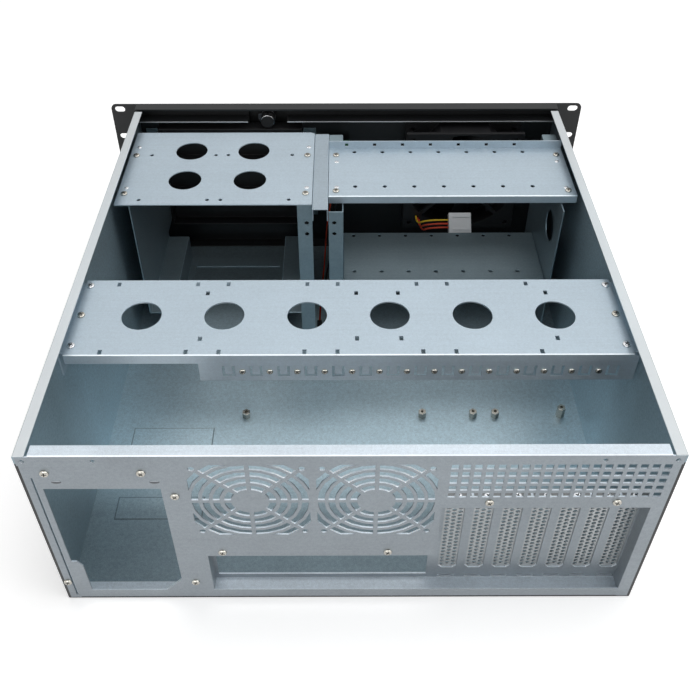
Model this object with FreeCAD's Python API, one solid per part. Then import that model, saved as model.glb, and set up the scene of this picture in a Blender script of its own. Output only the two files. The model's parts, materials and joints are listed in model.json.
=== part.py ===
import FreeCAD
import Part

import math
import os

# Empty 4U rackmount server case with its lid off.
# Frame: millimetres, +Z up, the rack ears and door towards -Y, the card slots towards +Y.
# The origin is under the middle of the whole case, on the plane that it stands on.

Vector = FreeCAD.Vector

# ---------------------------------------------------------------- driving dimensions

# Chassis
case_width = 430.0
case_height = 176.0
case_depth = 440.0          # rear face to the back of the rack ears
sheet = 1.2                 # chassis sheet steel
bend_bevel = 0.7            # outer corner taken off each fold
wall_flange = 8.0           # top edge of each side wall, folded inwards
floor_pad_size = (72.0, 21.0)
floor_pad_rise = 0.5
floor_pad_x = 157.6
floor_pad_depths = (68.2, 142.0)

# Rack front
rack_width = 482.6
panel_height = case_height + 1
panel_sheet = 2.0
panel_flange = 10.0
ear_corner = 5.0
ear_slot_spacing_x = 465.1
ear_slot_rows = (6.5, 38.25, panel_height - 37.3, panel_height - 5.55)
ear_slot_length = 10.4
ear_slot_width = 6.8

# Inner front frame, a black channel behind the rack panel
frame_drop = 11.0           # from the case's top down to the frame and the cages
frame_height = case_height - frame_drop
frame_flange = 13.8

# Rear panel
rear_flange = 8.6
rear_flange_inset = 10.0
rear_foot = 12.0
grille_x = (66.8, -17.9)
grille_z = case_height - 49.6
grille_hub = 12.9
grille_rings = (17.5, 25.1, 32.2, 39.3)
grille_slot = 4.6
grille_spoke = 2.9
grille_spokes = 8
grille_sides = 24           # straight sides that each ring is simplified to
grille_half_square = 40.0
grille_corner_ring = 46.4
fan_screw_spacing = 71.5
fan_screw_hole = 2.2
vent_first_x = -67.8
vent_top_z = case_height - 12.4
vent_pitch_x = 7.61
vent_pitch_z = 7.7
vent_hole = (5.0, 4.9)
vent_columns = 19
vent_rows = 5

# Power supply opening in the rear panel
psu_left = 202.5
psu_right = 125.0
psu_top = case_height - 35
psu_bottom = 11.5
psu_chamfer = (13.3, 15.5)
psu_ledge = (7.5, 34.0)
relief_slit_x = 207.4
relief_slit_top = psu_top + 12
relief_slit_width = 1.1
psu_screw_insets = (4.7, 67.2)      # from the opening's left edge
psu_screw_above = 17.3
side_screw = (8.4, 8.3)             # outside and below its upper right corner
low_screw = (10.0, 11.7)            # outside and above its lower right corner
corner_screw = (4.4, 23.7)          # from the case's side and its base
lid_hole_x = (209.5, 164.2, -163.1, -209.5)
lid_hole_below = 5.5
lid_hole = 1.5

# Recess for the input/output plate and the card slots
recess_depth = 12.0
recess_left = 102.3
recess_right = -204.0
recess_split = -62.5
recess_bottom = 11.8
recess_floor = 8.2
recess_io_top = 58.8
recess_slot_top = case_height - 58
recess_lip = 9.5
recess_io_screws = (11.1, 129.8)    # from the recess's left edge
recess_slot_screws = (31.5, 117.3)  # from the step in its top
recess_screw_above = (5.2, 6.7)
io_opening = (158.75, 44.45)
io_centre_x = 20.6
io_bottom = 13.3
slot_count = 7
slot_first_x = -74.3
slot_pitch = 20.32
slot_opening_width = 14.0
slot_opening_bottom = 22.0
slot_opening_top = recess_slot_top - 6
slot_opening_bevel = 3.0
slot_slit = (12.5, 1.8)
slot_slit_z = 11.0
cover_sheet = 0.9
cover_width = 18.4
cover_tab = 10.5
cover_tongue = (10.2, 8.4)
cover_hole_rows = 6
cover_hole_column = 3.2
cover_hole_first = 4.5      # from the opening's bottom to the first hole
cover_hole_last = 10.7      # from the last hole to its top
cover_hole_half = (2.2, 4.6)

# Crossbar over the mainboard space
bar_top = case_height - 9
bar_near = 96.5             # distances from the rear face
bar_far = 179.5
bar_width = 416.0
bar_flange = 9.0
bar_hole_count = 6
bar_hole_pitch = 63.1
bar_hole_radius = 15.2
bar_slot_size = (3.0, 4.6)
bar_slot_group_pitch = 86.7
bar_slot_rows = (174.0, 163.4, 113.2, 99.6)
bar_slot_first_x = 181.7
bar_slot_pair = 62.6
bar_slot_middle_x = (110.2, -6.2, -39.0, -154.8)
bar_bracket_leg = 14.0
bar_bracket_drop = 24.0
bar_screw_x = 204.0
bar_screw_depths = (172.0, 138.6, 106.0)
clamp_top = bar_top - 3
clamp_height = 25.7
clamp_bottom = clamp_top - clamp_height
clamp_left = 111.0
clamp_right = -212.5
clamp_first_tab_x = 89.0
clamp_tab_count = 15
clamp_window = (9.4, 11.0)
clamp_tongue = (5.4, 8.6)

# Drive cages
cage_sheet = 1.0
cage_top = frame_height
cage_rear = case_depth - 156     # distances from the rear face, as below
bay_centre_x = 120.25
bay_inside = 150.0
bay_flange = 13.5
bay_plate_front = case_depth - 35
bay_rail_width = 22.0
bay_rail_height = 32.0
bay_rail_front = case_depth - 34
bay_plate_hole_radius = 15.1
bay_plate_hole_x = 30.1
bay_plate_hole_depths = (cage_rear + 38, cage_rear + 87.4)
bay_plate_pin_x = (6.0, 67.6)
bay_plate_pin_depths = (cage_rear + 7, cage_rear + 80.3)
bay_screw_depths = (cage_rear + 16.3, cage_rear + 79.3)
tie_depth = 16.0
disk_centre_x = -95.75
disk_inside = 198.5
disk_flange = 13.5
disk_wall_front = case_depth - 38
disk_plate_front = case_depth - 64.6
disk_plate_lip = 8.0
disk_plate_near_lip = 8.0
disk_plate_rear = cage_rear + 12
disk_shelf_top = 62.0
disk_shelf_lip = 10.0
disk_shelf_front = case_depth - 66.5
disk_hole_first_x = -7.4
disk_hole_pitch = 27.15
disk_hole_count = 7
disk_hole_depths = (cage_rear + 27.2, cage_rear + 85)
disk_screw_depths = (cage_rear + 20, cage_rear + 79.3)
disk_side_hole_radius = 15.0
cage_hole = 1.9
pin_hole = 1.7
disk_side_hole = (cage_rear + 34, cage_top - 51)
post_hole_heights = (cage_top - 34, cage_top - 21.3)
channel_width = 13.0
channel_front = disk_wall_front
channel_rear = cage_rear - 8
cover_gap = 0.3

# Front cooling fan
fan_x = -121.5
fan_size = 120.0
fan_z = frame_height - fan_size / 2 - 7.5
fan_thickness = 25.0
fan_flange = 4.0
fan_bore = 57.5
fan_sides = 32              # straight sides that the fan's bore is simplified to
fan_mount_spacing = 105.0
fan_mount_hole = 2.2
fan_hub = 20.0
fan_blades = 7
fan_blade_tip = 54.5
fan_blade_thickness = 1.4
fan_blade_chord = 19.0
fan_blade_pitch = 52.0
fan_shaft = 1.5
fan_shaft_clearance = 0.05
fan_gap = 1.0
filter_sheet = 0.8          # mesh dust filter in the frame's bore, behind the vent

# Door, hinge and lock
door_left = 205.0
door_right = -44.0
door_bottom = 12.6
door_top = panel_height - 4.2
door_sheet = 2.0
door_edge = 6.0
door_gap = 1.2
hinge_z = 16.0
hinge_from_panel = 4.6
hinge_pin = 1.5
hinge_clearance = 0.05
hinge_ear = 3.0
lock_x = 80.5
lock_z = panel_height - 12.6
lock_radius = 7.0
lock_reach = 23.0
lock_bezel = 7.8
lock_window = (40.0, 19.0)
lock_cam_length = 10.3
lock_cam_width = 8.0
lock_cam_sheet = 1.6

# Drive bay covers
bay_count = 3
bay_bottom = 31.0
bay_top_margin = 9.5
bay_pitch = (frame_height - bay_top_margin - bay_bottom) / bay_count
bay_opening = 149.0
bay_cover_wall = 2.0
bay_cover_depth = 14.0
bay_cover_play = 0.3

# Front vent in front of the fan
front_vent_slot = (50.0, 4.0)
front_vent_pitch = (56.0, 9.0)
front_vent_rows = 11

# Buttons and lamps between the bays and the fan
control_x = 12.0
control_width = 30.0
power_button_z = 128.0
power_button_radius = 6.0
reset_button_z = 108.0
reset_button_radius = 3.2
button_travel = 1.6
button_clearance = 0.3
button_proud = 1.8
button_sides = 16           # straight sides that each cap is simplified to
button_stem = 1.5
switch_gap = 0.2
lamp_z = (88.0, 78.0)
lamp_radius = 1.5
board_thickness = 1.6
board_gap = 8.0
switch_height = 3.5

# Handles on the rack ears
handle_x = 221.5
handle_reach = 39.6
handle_span = 76.0
handle_radius = 4.5
handle_z = panel_height / 2
handle_bend = 12.0
handle_bend_runs = 3        # straight runs that each bend is simplified to

# Leads: the fan's plug leans on the edge of the disk shelf, the panel's leads lie on the floor
lead_radius = 0.9
fan_plug_left = -108.0
fan_plug_size = (23.5, 22.0, 11.0)
fan_plug_lean = 40.5        # degrees between its broad face and the floor
fan_lead_spacing = 4.0
housing_size = (5.2, 14.0, 2.6)
housing_depth = cage_rear + 4
panel_lead_z = 84.0

# Fits and fasteners
fit_gap = 0.5
screw_head_radius = 3.0
screw_head_height = 1.6
screw_shank_radius = 1.4
screw_hole_radius = 1.7
handle_screw_head = 3.5
standoff_radius = 2.9
standoff_height = 6.5
standoff_tall = 12.0
standoff_depth = bar_far - 2.5
standoff_x = (93.3, -68.7, -115.4, -135.7)
standoff_tall_x = -195.9

# ---------------------------------------------------------------- derived planes

overall_depth = case_depth + panel_sheet + handle_reach + screw_head_height
rear_y = overall_depth / 2 - screw_head_height
half_width = case_width / 2
wall_inner_x = half_width - sheet
ear_back_y = rear_y - case_depth
panel_front_y = ear_back_y - panel_sheet
frame_back_y = ear_back_y + sheet
recess_y = rear_y - recess_depth


def at_depth(distance):
    """Y of a plane that lies this far in front of the rear face."""
    return rear_y - distance


# ---------------------------------------------------------------- shape helpers


def box(x_range, y_range, z_range):
    """A block between two opposite corners, given as three ranges."""
    low = Vector(min(x_range), min(y_range), min(z_range))
    size = [max(r) - min(r) for r in (x_range, y_range, z_range)]
    return Part.makeBox(size[0], size[1], size[2], low)


def place(axis, along, u, v):
    """A point at height `along` on an axis, with u and v on the other two axes in order."""
    if axis == "X":
        return Vector(along, u, v)
    if axis == "Y":
        return Vector(u, along, v)
    return Vector(u, v, along)


def direction(axis, length):
    return place(axis, length, 0, 0)


def rounded_wire(axis, along, corners):
    """A closed outline of straight edges whose corners (u, v, radius) may be rounded."""
    count = len(corners)
    edges = []
    ends = []
    for i, (u, v, radius) in enumerate(corners):
        here = Vector(u, v, 0)
        before = Vector(corners[i - 1][0], corners[i - 1][1], 0) - here
        after = Vector(corners[(i + 1) % count][0], corners[(i + 1) % count][1], 0) - here
        if radius <= 0:
            ends.append((here, None, here))
            continue
        before.normalize()
        after.normalize()
        half = before.getAngle(after) / 2
        reach = radius / math.tan(half)
        middle = before + after
        middle.normalize()
        tip = here + middle * (radius / math.sin(half) - radius)
        ends.append((here + before * reach, tip, here + after * reach))
    for i, (start, tip, end) in enumerate(ends):
        if tip is not None:
            arc = [place(axis, along, p.x, p.y) for p in (start, tip, end)]
            edges.append(Part.Arc(*arc).toShape())
        following = ends[(i + 1) % count][0]
        if (following - end).Length > 1e-6:
            line = [place(axis, along, p.x, p.y) for p in (end, following)]
            edges.append(Part.makeLine(*line))
    return Part.Wire(edges)


def extrusion(axis, start, end, corners):
    """A plate or bar: a rounded outline drawn out along an axis."""
    face = Part.Face(rounded_wire(axis, start, corners))
    return face.extrude(direction(axis, end - start))


def offset_path(path, distance):
    """The open path moved sideways, to its left where the distance is positive."""
    normals = []
    for (u0, v0), (u1, v1) in zip(path, path[1:]):
        length = math.hypot(u1 - u0, v1 - v0)
        normals.append((-(v1 - v0) / length, (u1 - u0) / length))
    moved = []
    for i, (u, v) in enumerate(path):
        first = normals[max(i - 1, 0)]
        second = normals[min(i, len(normals) - 1)]
        nu, nv = first[0] + second[0], first[1] + second[1]
        scale = distance / (1 + first[0] * second[0] + first[1] * second[1])
        moved.append((u + nu * scale, v + nv * scale))
    return moved


def bevelled(before, corner, after, reach):
    """The two points that cut a corner off at this distance from it."""
    points = []
    for u, v in (before, after):
        share = reach / math.hypot(u - corner[0], v - corner[1])
        points.append((corner[0] + (u - corner[0]) * share, corner[1] + (v - corner[1]) * share, 0))
    return points


def folded_sheet(axis, start, end, path, thickness, bevel=bend_bevel):
    """Sheet metal folded along a path, lying to the left of it, each bend bevelled outside."""
    other = offset_path(path, thickness)
    outline = []
    inner = []
    for i, (u, v) in enumerate(path):
        if i in (0, len(path) - 1):
            outline.append((u, v, 0))
            inner.append((other[i][0], other[i][1], 0))
            continue
        before, after = path[i - 1], path[i + 1]
        turn = (u - before[0]) * (after[1] - v) - (v - before[1]) * (after[0] - u)
        if turn * thickness > 0:
            outline += bevelled(before, (u, v), after, bevel)
            inner.append((other[i][0], other[i][1], 0))
        else:
            outline.append((u, v, 0))
            inner += bevelled(other[i - 1], other[i], other[i + 1], bevel)
    return extrusion(axis, start, end, outline + inner[::-1])


def cylinder(axis, start, end, u, v, radius):
    base = place(axis, start, u, v)
    way = direction(axis, 1 if end > start else -1)
    return Part.makeCylinder(radius, abs(end - start), base, way)


def polygon_outline(u, v, radius, sides=8, turn=0.5):
    """Corners of a regular outline whose flats lie at the radius, turned by a part of one side."""
    reach = radius / math.cos(math.pi / sides)
    corners = []
    for i in range(sides):
        angle = 2 * math.pi * (i + turn) / sides
        corners.append((u + reach * math.cos(angle), v + reach * math.sin(angle), 0))
    return corners


def polygon_bar(axis, start, end, u, v, radius, sides=8, turn=0.5):
    """A regular bar whose flats lie at the radius, used for small holes and screw heads."""
    return extrusion(axis, start, end, polygon_outline(u, v, radius, sides, turn))


def long_hole(axis, start, end, u, v, length, width):
    """A cutter for a slot with round ends, lying along u."""
    half_l, half_w = length / 2, width / 2
    corners = [(half_l, -half_w), (half_l, half_w), (-half_l, half_w), (-half_l, -half_w)]
    return extrusion(axis, start, end, [(u + a, v + b, half_w * 0.98) for a, b in corners])


def small_slot(axis, start, end, u, v, size_u, size_v):
    """A cutter for a small punched slot, simplified to a plain rectangle."""
    a, b = size_u / 2, size_v / 2
    corners = [(u - a, v - b, 0), (u + a, v - b, 0), (u + a, v + b, 0), (u - a, v + b, 0)]
    return extrusion(axis, start, end, corners)


def rounded_box(axis, start, end, u_range, v_range, radius):
    """A block with four rounded edges along an axis."""
    u0, u1 = sorted(u_range)
    v0, v1 = sorted(v_range)
    corners = [(u0, v0, radius), (u1, v0, radius), (u1, v1, radius), (u0, v1, radius)]
    return extrusion(axis, start, end, corners)


def mirrored(shape, x=0.0):
    """The same piece on the other side of a plane across X."""
    return shape.mirror(Vector(x, 0, 0), Vector(1, 0, 0))


def cut_all(shape, cutters):
    """Cut many holes at once; the cutters must not touch each other."""
    if not cutters:
        return shape
    return shape.cut(Part.makeCompound(cutters))


def join(pieces):
    """Fuse pieces that touch into one solid, without the seams between them."""
    whole = pieces[0]
    for piece in pieces[1:]:
        whole = whole.fuse(piece)
    return whole.removeSplitter()


def screw(axis, seat, way, u, v, grip, head_radius=screw_head_radius):
    """A screw whose head sits on the plane `seat` and whose shank goes against `way`."""
    head = polygon_bar(axis, seat, seat + way * screw_head_height, u, v, head_radius)
    shank = polygon_bar(axis, seat - way * grip, seat, u, v, screw_shank_radius, 4)
    return head.fuse(shank).removeSplitter()


def screw_hole(axis, seat, way, u, v, grip):
    return polygon_bar(axis, seat - way * (grip + 0.5), seat + way * 0.5, u, v, screw_hole_radius, 4)


def export(name, shape):
    shape.exportStep("parts/" + name + ".step")


# ---------------------------------------------------------------- chassis


def make_tray():
    """Floor and side walls, one sheet, with the walls' top edges folded in."""
    edge = half_width - wall_flange
    path = [
        (edge, case_height), (half_width, case_height), (half_width, 0),
        (-half_width, 0), (-half_width, case_height), (-edge, case_height),
    ]
    tray = folded_sheet("Y", ear_back_y, rear_y, path, -sheet)
    front_cut = (ear_back_y - 1, ear_back_y + frame_flange - sheet)
    notch_z = (panel_height - panel_sheet - sheet, case_height + 1)
    tray = tray.cut(box((-half_width - 1, half_width + 1), front_cut, notch_z))
    pads = []
    for distance in floor_pad_depths:
        near, far = at_depth(distance), at_depth(distance) - floor_pad_size[1]
        left = floor_pad_x + floor_pad_size[0] / 2
        right = floor_pad_x - floor_pad_size[0] / 2
        pads.append(rounded_box("Z", sheet, sheet + floor_pad_rise, (right, left), (far, near), 0))
    holes = [screw_hole("Z", sheet, 1, x, at_depth(standoff_depth), sheet) for x in standoff_x]
    holes.append(screw_hole("Z", sheet, 1, standoff_tall_x, at_depth(standoff_depth), sheet))
    return cut_all(join([tray] + pads), holes)


def grille_ring(x, radius, front, back):
    outer = polygon_bar("Y", front, back, x, grille_z, radius, grille_sides, 0)
    inner = polygon_bar("Y", front, back, x, grille_z, radius - grille_slot, grille_sides, 0)
    return outer.cut(inner)


def grille_cutters(x):
    """The curved slots of one fan grille, between its rings and spokes."""
    front, back = rear_y - 2 * sheet, rear_y + 1
    rings = []
    for radius in grille_rings:
        rings.append(grille_ring(x, radius, front, back))
    corner = grille_ring(x, grille_corner_ring, front, back)
    half = grille_half_square
    rings.append(corner.common(box((x - half, x + half), (front, back), (grille_z - half, grille_z + half))))
    spokes = []
    reach = grille_corner_ring + 10
    spoke_z = (grille_z - grille_spoke / 2, grille_z + grille_spoke / 2)
    for i in range(grille_spokes // 2):
        spoke = box((x - reach, x + reach), (front - 1, back + 1), spoke_z)
        spoke.rotate(Vector(x, 0, grille_z), Vector(0, 1, 0), i * 360 / grille_spokes)
        spokes.append(spoke)
    slots = Part.makeCompound(rings)
    for spoke in spokes:
        slots = slots.cut(spoke)
    cutters = [slots]
    reach = fan_screw_spacing / 2
    for sx in (-reach, reach):
        for sz in (-reach, reach):
            cutters.append(cylinder("Y", front, back, x + sx, grille_z + sz, fan_screw_hole))
    return cutters


def recess_outline(grow, floor):
    """The stepped outline of the recess, grown outwards at its sides and top."""
    return [
        (recess_left + grow, floor, 0), (recess_left + grow, recess_io_top + grow, 0),
        (recess_split + grow, recess_io_top + grow, 0), (recess_split + grow, recess_slot_top + grow, 0),
        (recess_right - grow, recess_slot_top + grow, 0), (recess_right - grow, floor, 0),
    ]


def rear_screw_places():
    """X and Z of the screws in the rear face, and whether the recess is behind them."""
    over_io = recess_io_top + recess_screw_above[0]
    over_slots = recess_slot_top + recess_screw_above[1]
    places = [(psu_left - inset, psu_top + psu_screw_above, False) for inset in psu_screw_insets]
    places += [
        (psu_right - side_screw[0], psu_top - side_screw[1], False),
        (psu_right - low_screw[0], psu_bottom + low_screw[1], False),
        (half_width - corner_screw[0], corner_screw[1], False),
    ]
    places += [(recess_left - inset, over_io, True) for inset in recess_io_screws]
    places += [(recess_split - inset, over_slots, True) for inset in recess_slot_screws]
    return places


def make_rear_panel():
    front, back = rear_y - 2 * sheet, rear_y + 1
    edge = half_width - rear_flange_inset
    path = [
        (rear_y - rear_foot, sheet), (rear_y, sheet),
        (rear_y, case_height), (rear_y - rear_flange, case_height),
    ]
    panel = folded_sheet("X", -edge, edge, path, sheet)
    side_z = (sheet, case_height - sheet)
    for side in (-1, 1):
        strip = box((side * edge, side * wall_inner_x), (rear_y - sheet, rear_y), side_z)
        panel = panel.fuse(strip)
    panel = panel.removeSplitter()
    panel = panel.cut(extrusion("Y", front, back, recess_outline(0, recess_bottom)))
    opening = [
        (psu_left, psu_top, 0), (psu_right, psu_top, 0),
        (psu_right, psu_bottom + psu_chamfer[1], 0), (psu_right + psu_chamfer[0], psu_bottom, 0),
        (psu_left - psu_ledge[0], psu_bottom, 0), (psu_left - psu_ledge[0], psu_bottom + psu_ledge[1], 0),
        (psu_left - psu_ledge[0] / 2, psu_bottom + psu_ledge[1] + 6, 0),
        (psu_left, psu_bottom + psu_ledge[1] + 6, 0),
    ]
    cutters = [extrusion("Y", front, back, opening[::-1])]
    slit = (relief_slit_x - relief_slit_width / 2, relief_slit_x + relief_slit_width / 2)
    cutters.append(box(slit, (front, back), (3 * sheet, relief_slit_top)))
    for x in grille_x:
        cutters += grille_cutters(x)
    for column in range(vent_columns):
        for row in range(vent_rows):
            x = vent_first_x - column * vent_pitch_x
            z = vent_top_z - row * vent_pitch_z
            half_x, half_z = vent_hole[0] / 2, vent_hole[1] / 2
            cutters.append(box((x - half_x, x + half_x), (front, back), (z - half_z, z + half_z)))
    for x, z, behind in rear_screw_places():
        cutters.append(screw_hole("Y", rear_y, 1, x, z, sheet))
    for x in lid_hole_x:
        cutters.append(polygon_bar("Y", front, back, x, case_height - lid_hole_below, lid_hole, 6))
    return cut_all(panel, cutters)


def make_slot_recess():
    """The set-back plate that carries the input/output opening and the card slots."""
    plate_y = recess_y - sheet
    seam_y = rear_y - sheet
    outer = extrusion("Y", plate_y, seam_y, recess_outline(sheet, recess_floor - sheet))
    inner = extrusion("Y", recess_y, seam_y + 1, recess_outline(0, recess_floor))
    shell = outer.cut(inner)
    flange_y = (seam_y - sheet, seam_y)
    top = recess_slot_top + sheet
    io_top = recess_io_top + sheet
    slot_side = (recess_right - sheet, recess_split + sheet)
    side_lip_z = (recess_bottom, recess_io_top - 3)
    shell = join([
        shell,
        box((recess_split + 2 * sheet + 2, recess_left), flange_y, (io_top - 0.2, io_top + recess_lip)),
        box(slot_side, flange_y, (top - 0.2, top + recess_lip)),
        box((recess_left + sheet - 0.2, recess_left + recess_lip), flange_y, side_lip_z),
    ])
    io_left = io_centre_x + io_opening[0] / 2
    cut_y = (plate_y - 1, recess_y + 0.5)
    cutters = [box((io_left - io_opening[0], io_left), cut_y, (io_bottom, io_bottom + io_opening[1]))]
    for i in range(slot_count):
        x = slot_first_x - i * slot_pitch
        half = slot_opening_width / 2
        bevel = slot_opening_bevel
        corners = [
            (x - half, slot_opening_top, 0), (x - half, slot_opening_bottom + bevel, 0),
            (x - half + bevel, slot_opening_bottom, 0), (x + half - bevel, slot_opening_bottom, 0),
            (x + half, slot_opening_bottom + bevel, 0), (x + half, slot_opening_top, 0),
        ]
        cutters.append(extrusion("Y", cut_y[0], cut_y[1], corners))
        slit_x = (x - slot_slit[0] / 2, x + slot_slit[0] / 2)
        cutters.append(box(slit_x, cut_y, (slot_slit_z - slot_slit[1] / 2, slot_slit_z + slot_slit[1] / 2)))
        cutters.append(screw_hole("Z", top, 1, x, cover_screw_y(), sheet))
    for x, z, behind in rear_screw_places():
        if behind:
            cutters.append(screw_hole("Y", seam_y, 1, x, z, sheet))
    return cut_all(shell, cutters)


def cover_screw_y():
    return recess_y - sheet - cover_sheet + cover_tab * 0.62


def make_slot_cover(x):
    """A perforated blanking cover, hung on the recess by its folded tab."""
    back = recess_y - sheet
    front = back - cover_sheet
    seat = recess_slot_top + sheet
    shoulder = slot_opening_bottom - 2.5
    path = [(front, shoulder), (front, seat + cover_sheet), (front + cover_tab, seat + cover_sheet)]
    half = cover_width / 2
    cover = folded_sheet("X", x - half, x + half, path, -cover_sheet)
    wide, tip = cover_tongue[0] / 2, shoulder - cover_tongue[1]
    tongue = [
        (x - wide, shoulder, 0), (x - wide + 1.5, tip, 0), (x + wide - 1.5, tip, 0), (x + wide, shoulder, 0),
    ]
    cover = join([cover, extrusion("Y", front, back, tongue)])
    cutters = [screw_hole("Z", seat + cover_sheet, 1, x, cover_screw_y(), cover_sheet)]
    first = slot_opening_bottom + cover_hole_first
    pitch = (slot_opening_top - cover_hole_last - first) / (cover_hole_rows - 0.5)
    half_u, half_v = cover_hole_half
    for row in range(cover_hole_rows):
        for column in (-1, 1):
            z = first + (row + (0.5 if column > 0 else 0)) * pitch
            u = x + column * cover_hole_column
            corners = [(u - half_u, z, 0), (u, z - half_v, 0), (u + half_u, z, 0), (u, z + half_v, 0)]
            cutters.append(extrusion("Y", front - 0.5, back + 0.5, corners))
    return cut_all(cover, cutters)


# ---------------------------------------------------------------- crossbar


def bar_slot_places():
    """X and Y of the small slots punched in four rows along the crossbar."""
    places = []
    for row in (0, 3):
        for group in range(4):
            left = bar_slot_first_x - group * bar_slot_group_pitch
            places += [(left, bar_slot_rows[row]), (left - bar_slot_pair, bar_slot_rows[row])]
    for row in (1, 2):
        for x in bar_slot_middle_x:
            places.append((x, bar_slot_rows[row]))
    return [(x, at_depth(distance)) for x, distance in places]


def make_crossbar():
    far, near = at_depth(bar_far), at_depth(bar_near)
    path = [(far, bar_top - bar_flange), (far, bar_top), (near, bar_top), (near, bar_top - bar_flange)]
    bar = folded_sheet("X", -bar_width / 2, bar_width / 2, path, -sheet)
    low, high = bar_top - 2 * sheet, bar_top + 1
    middle = (far + near) / 2
    cutters = []
    for i in range(bar_hole_count):
        x = (i - (bar_hole_count - 1) / 2) * bar_hole_pitch
        cutters.append(cylinder("Z", low, high, x, middle, bar_hole_radius))
    for x, y in bar_slot_places():
        cutters.append(small_slot("Z", low, high, x, y, bar_slot_size[0], bar_slot_size[1]))
    for side in (-1, 1):
        for distance in bar_screw_depths:
            cutters.append(screw_hole("Z", bar_top, 1, side * bar_screw_x, at_depth(distance), sheet))
    return cut_all(bar, cutters)


def make_bar_bracket():
    """The angle on a side wall that the crossbar's end is screwed down to."""
    seat = bar_top - sheet
    far, near = at_depth(bar_far) + 2 * sheet, at_depth(bar_near) - 3 * sheet
    low = seat - bar_bracket_drop
    path = [(wall_inner_x, low), (wall_inner_x, seat), (wall_inner_x - bar_bracket_leg, seat)]
    bracket = folded_sheet("Y", far, near, path, sheet)
    holes = [screw_hole("Z", seat, 1, bar_screw_x, at_depth(d), sheet) for d in bar_screw_depths]
    return cut_all(bracket, holes)


def clamp_y():
    return at_depth(bar_near) - sheet


def make_card_clamp():
    """The strip under the crossbar whose small tongues steady the cards."""
    back = clamp_y()
    front = back - cage_sheet
    corners = [
        (clamp_left, clamp_bottom, 0), (clamp_left, clamp_top, 0),
        (clamp_right, clamp_top, 0), (clamp_right, clamp_bottom, 0),
    ]
    strip = extrusion("Y", front, back, corners[::-1])
    middle = (clamp_bottom + bar_top - bar_flange) / 2
    cutters = []
    tongues = []
    for i in range(clamp_tab_count):
        x = clamp_first_tab_x - i * slot_pitch
        half_u, half_v = clamp_window[0] / 2, clamp_window[1] / 2
        window_z = (middle - half_v, middle + half_v)
        cutters.append(box((x - half_u, x + half_u), (front - 1, back + 1), window_z))
        low = middle + half_v - clamp_tongue[1]
        tongue_x = (x - clamp_tongue[0] / 2, x + clamp_tongue[0] / 2)
        tongues.append(box(tongue_x, (front, back), (low, middle + half_v)))
        if i < clamp_tab_count - 1:
            cutters.append(screw_hole("Y", back, 1, x - slot_pitch / 2, middle, cage_sheet))
    return join([cut_all(strip, cutters)] + tongues)


# ---------------------------------------------------------------- drive cages


def make_bay_wall():
    """Left wall of the optical drive cage, folded with its top flange, drive rail and foot."""
    inner = bay_centre_x + bay_inside / 2
    rail = inner - bay_rail_width
    top = cage_top - cage_sheet
    foot = sheet + cage_sheet
    path = [
        (inner + bay_flange, top), (inner, top), (inner, bay_rail_height),
        (rail, bay_rail_height), (rail, foot), (rail - bay_flange / 2, foot),
    ]
    wall = folded_sheet("Y", at_depth(bay_rail_front), at_depth(cage_rear), path, cage_sheet)
    ahead = (frame_back_y, at_depth(bay_rail_front) + 0.5)
    cheek = box((inner, inner + cage_sheet), ahead, (bay_rail_height + 6, top - frame_flange))
    tab_x = (inner, inner + bay_flange)
    tab = box(tab_x, (frame_back_y, frame_back_y + cage_sheet), (bay_rail_height + 6, top - frame_flange))
    wall = join([wall, cheek, tab])
    holes = [screw_hole("Z", top, 1, bay_screw_x(1), at_depth(d), cage_sheet) for d in bay_screw_depths]
    return cut_all(wall, holes)


def bay_screw_x(side):
    return bay_centre_x + side * (bay_inside / 2 + bay_flange / 2 + 0.6)


def disk_screw_x(side):
    return disk_centre_x + side * (disk_inside / 2 + bay_flange / 2)


def add_post(wall, outer_x, sign, top):
    """Fold the rear edge of a cage wall into a post with two holes."""
    back = at_depth(cage_rear)
    reach = outer_x + sign * disk_flange
    post = box((outer_x, reach), (back - cage_sheet, back), (sheet, top))
    holes = []
    x = outer_x + sign * disk_flange * 0.62
    for z in post_hole_heights:
        holes.append(polygon_bar("Y", back - 2 * cage_sheet, back + 1, x, z, cage_hole, 6))
    return cut_all(join([wall, post]), holes)


def make_bay_plate():
    """Top plate of the optical drive cage, with four large holes."""
    half = bay_inside / 2 + bay_flange
    near, far = at_depth(cage_rear - 0.5), at_depth(bay_plate_front)
    low, high = cage_top - cage_sheet, cage_top
    corners = [
        (bay_centre_x - half, near, 0), (bay_centre_x + half, near, 0),
        (bay_centre_x + half, far, 0), (bay_centre_x - half + 3, far, 0), (bay_centre_x - half, far + 3, 0),
    ]
    plate = extrusion("Z", low, high, corners)
    cutters = []
    for side in (-1, 1):
        for distance in bay_plate_hole_depths:
            x = bay_centre_x + side * bay_plate_hole_x
            cutters.append(cylinder("Z", low - 1, high + 1, x, at_depth(distance), bay_plate_hole_radius))
        for offset in bay_plate_pin_x:
            for distance in bay_plate_pin_depths:
                x = bay_centre_x + side * offset
                cutters.append(polygon_bar("Z", low - 1, high + 1, x, at_depth(distance), pin_hole, 6))
        for distance in bay_screw_depths:
            cutters.append(screw_hole("Z", high, 1, bay_screw_x(side), at_depth(distance), cage_sheet))
    return cut_all(plate, cutters)


def make_bay_tie():
    """Flat strip across the foot of the optical drive cage."""
    half = bay_inside / 2 - bay_rail_width - bay_flange / 2
    y_range = (at_depth(bay_rail_front), at_depth(bay_rail_front) + tie_depth)
    return box((bay_centre_x - half, bay_centre_x + half), y_range, (sheet, sheet + cage_sheet))


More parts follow.
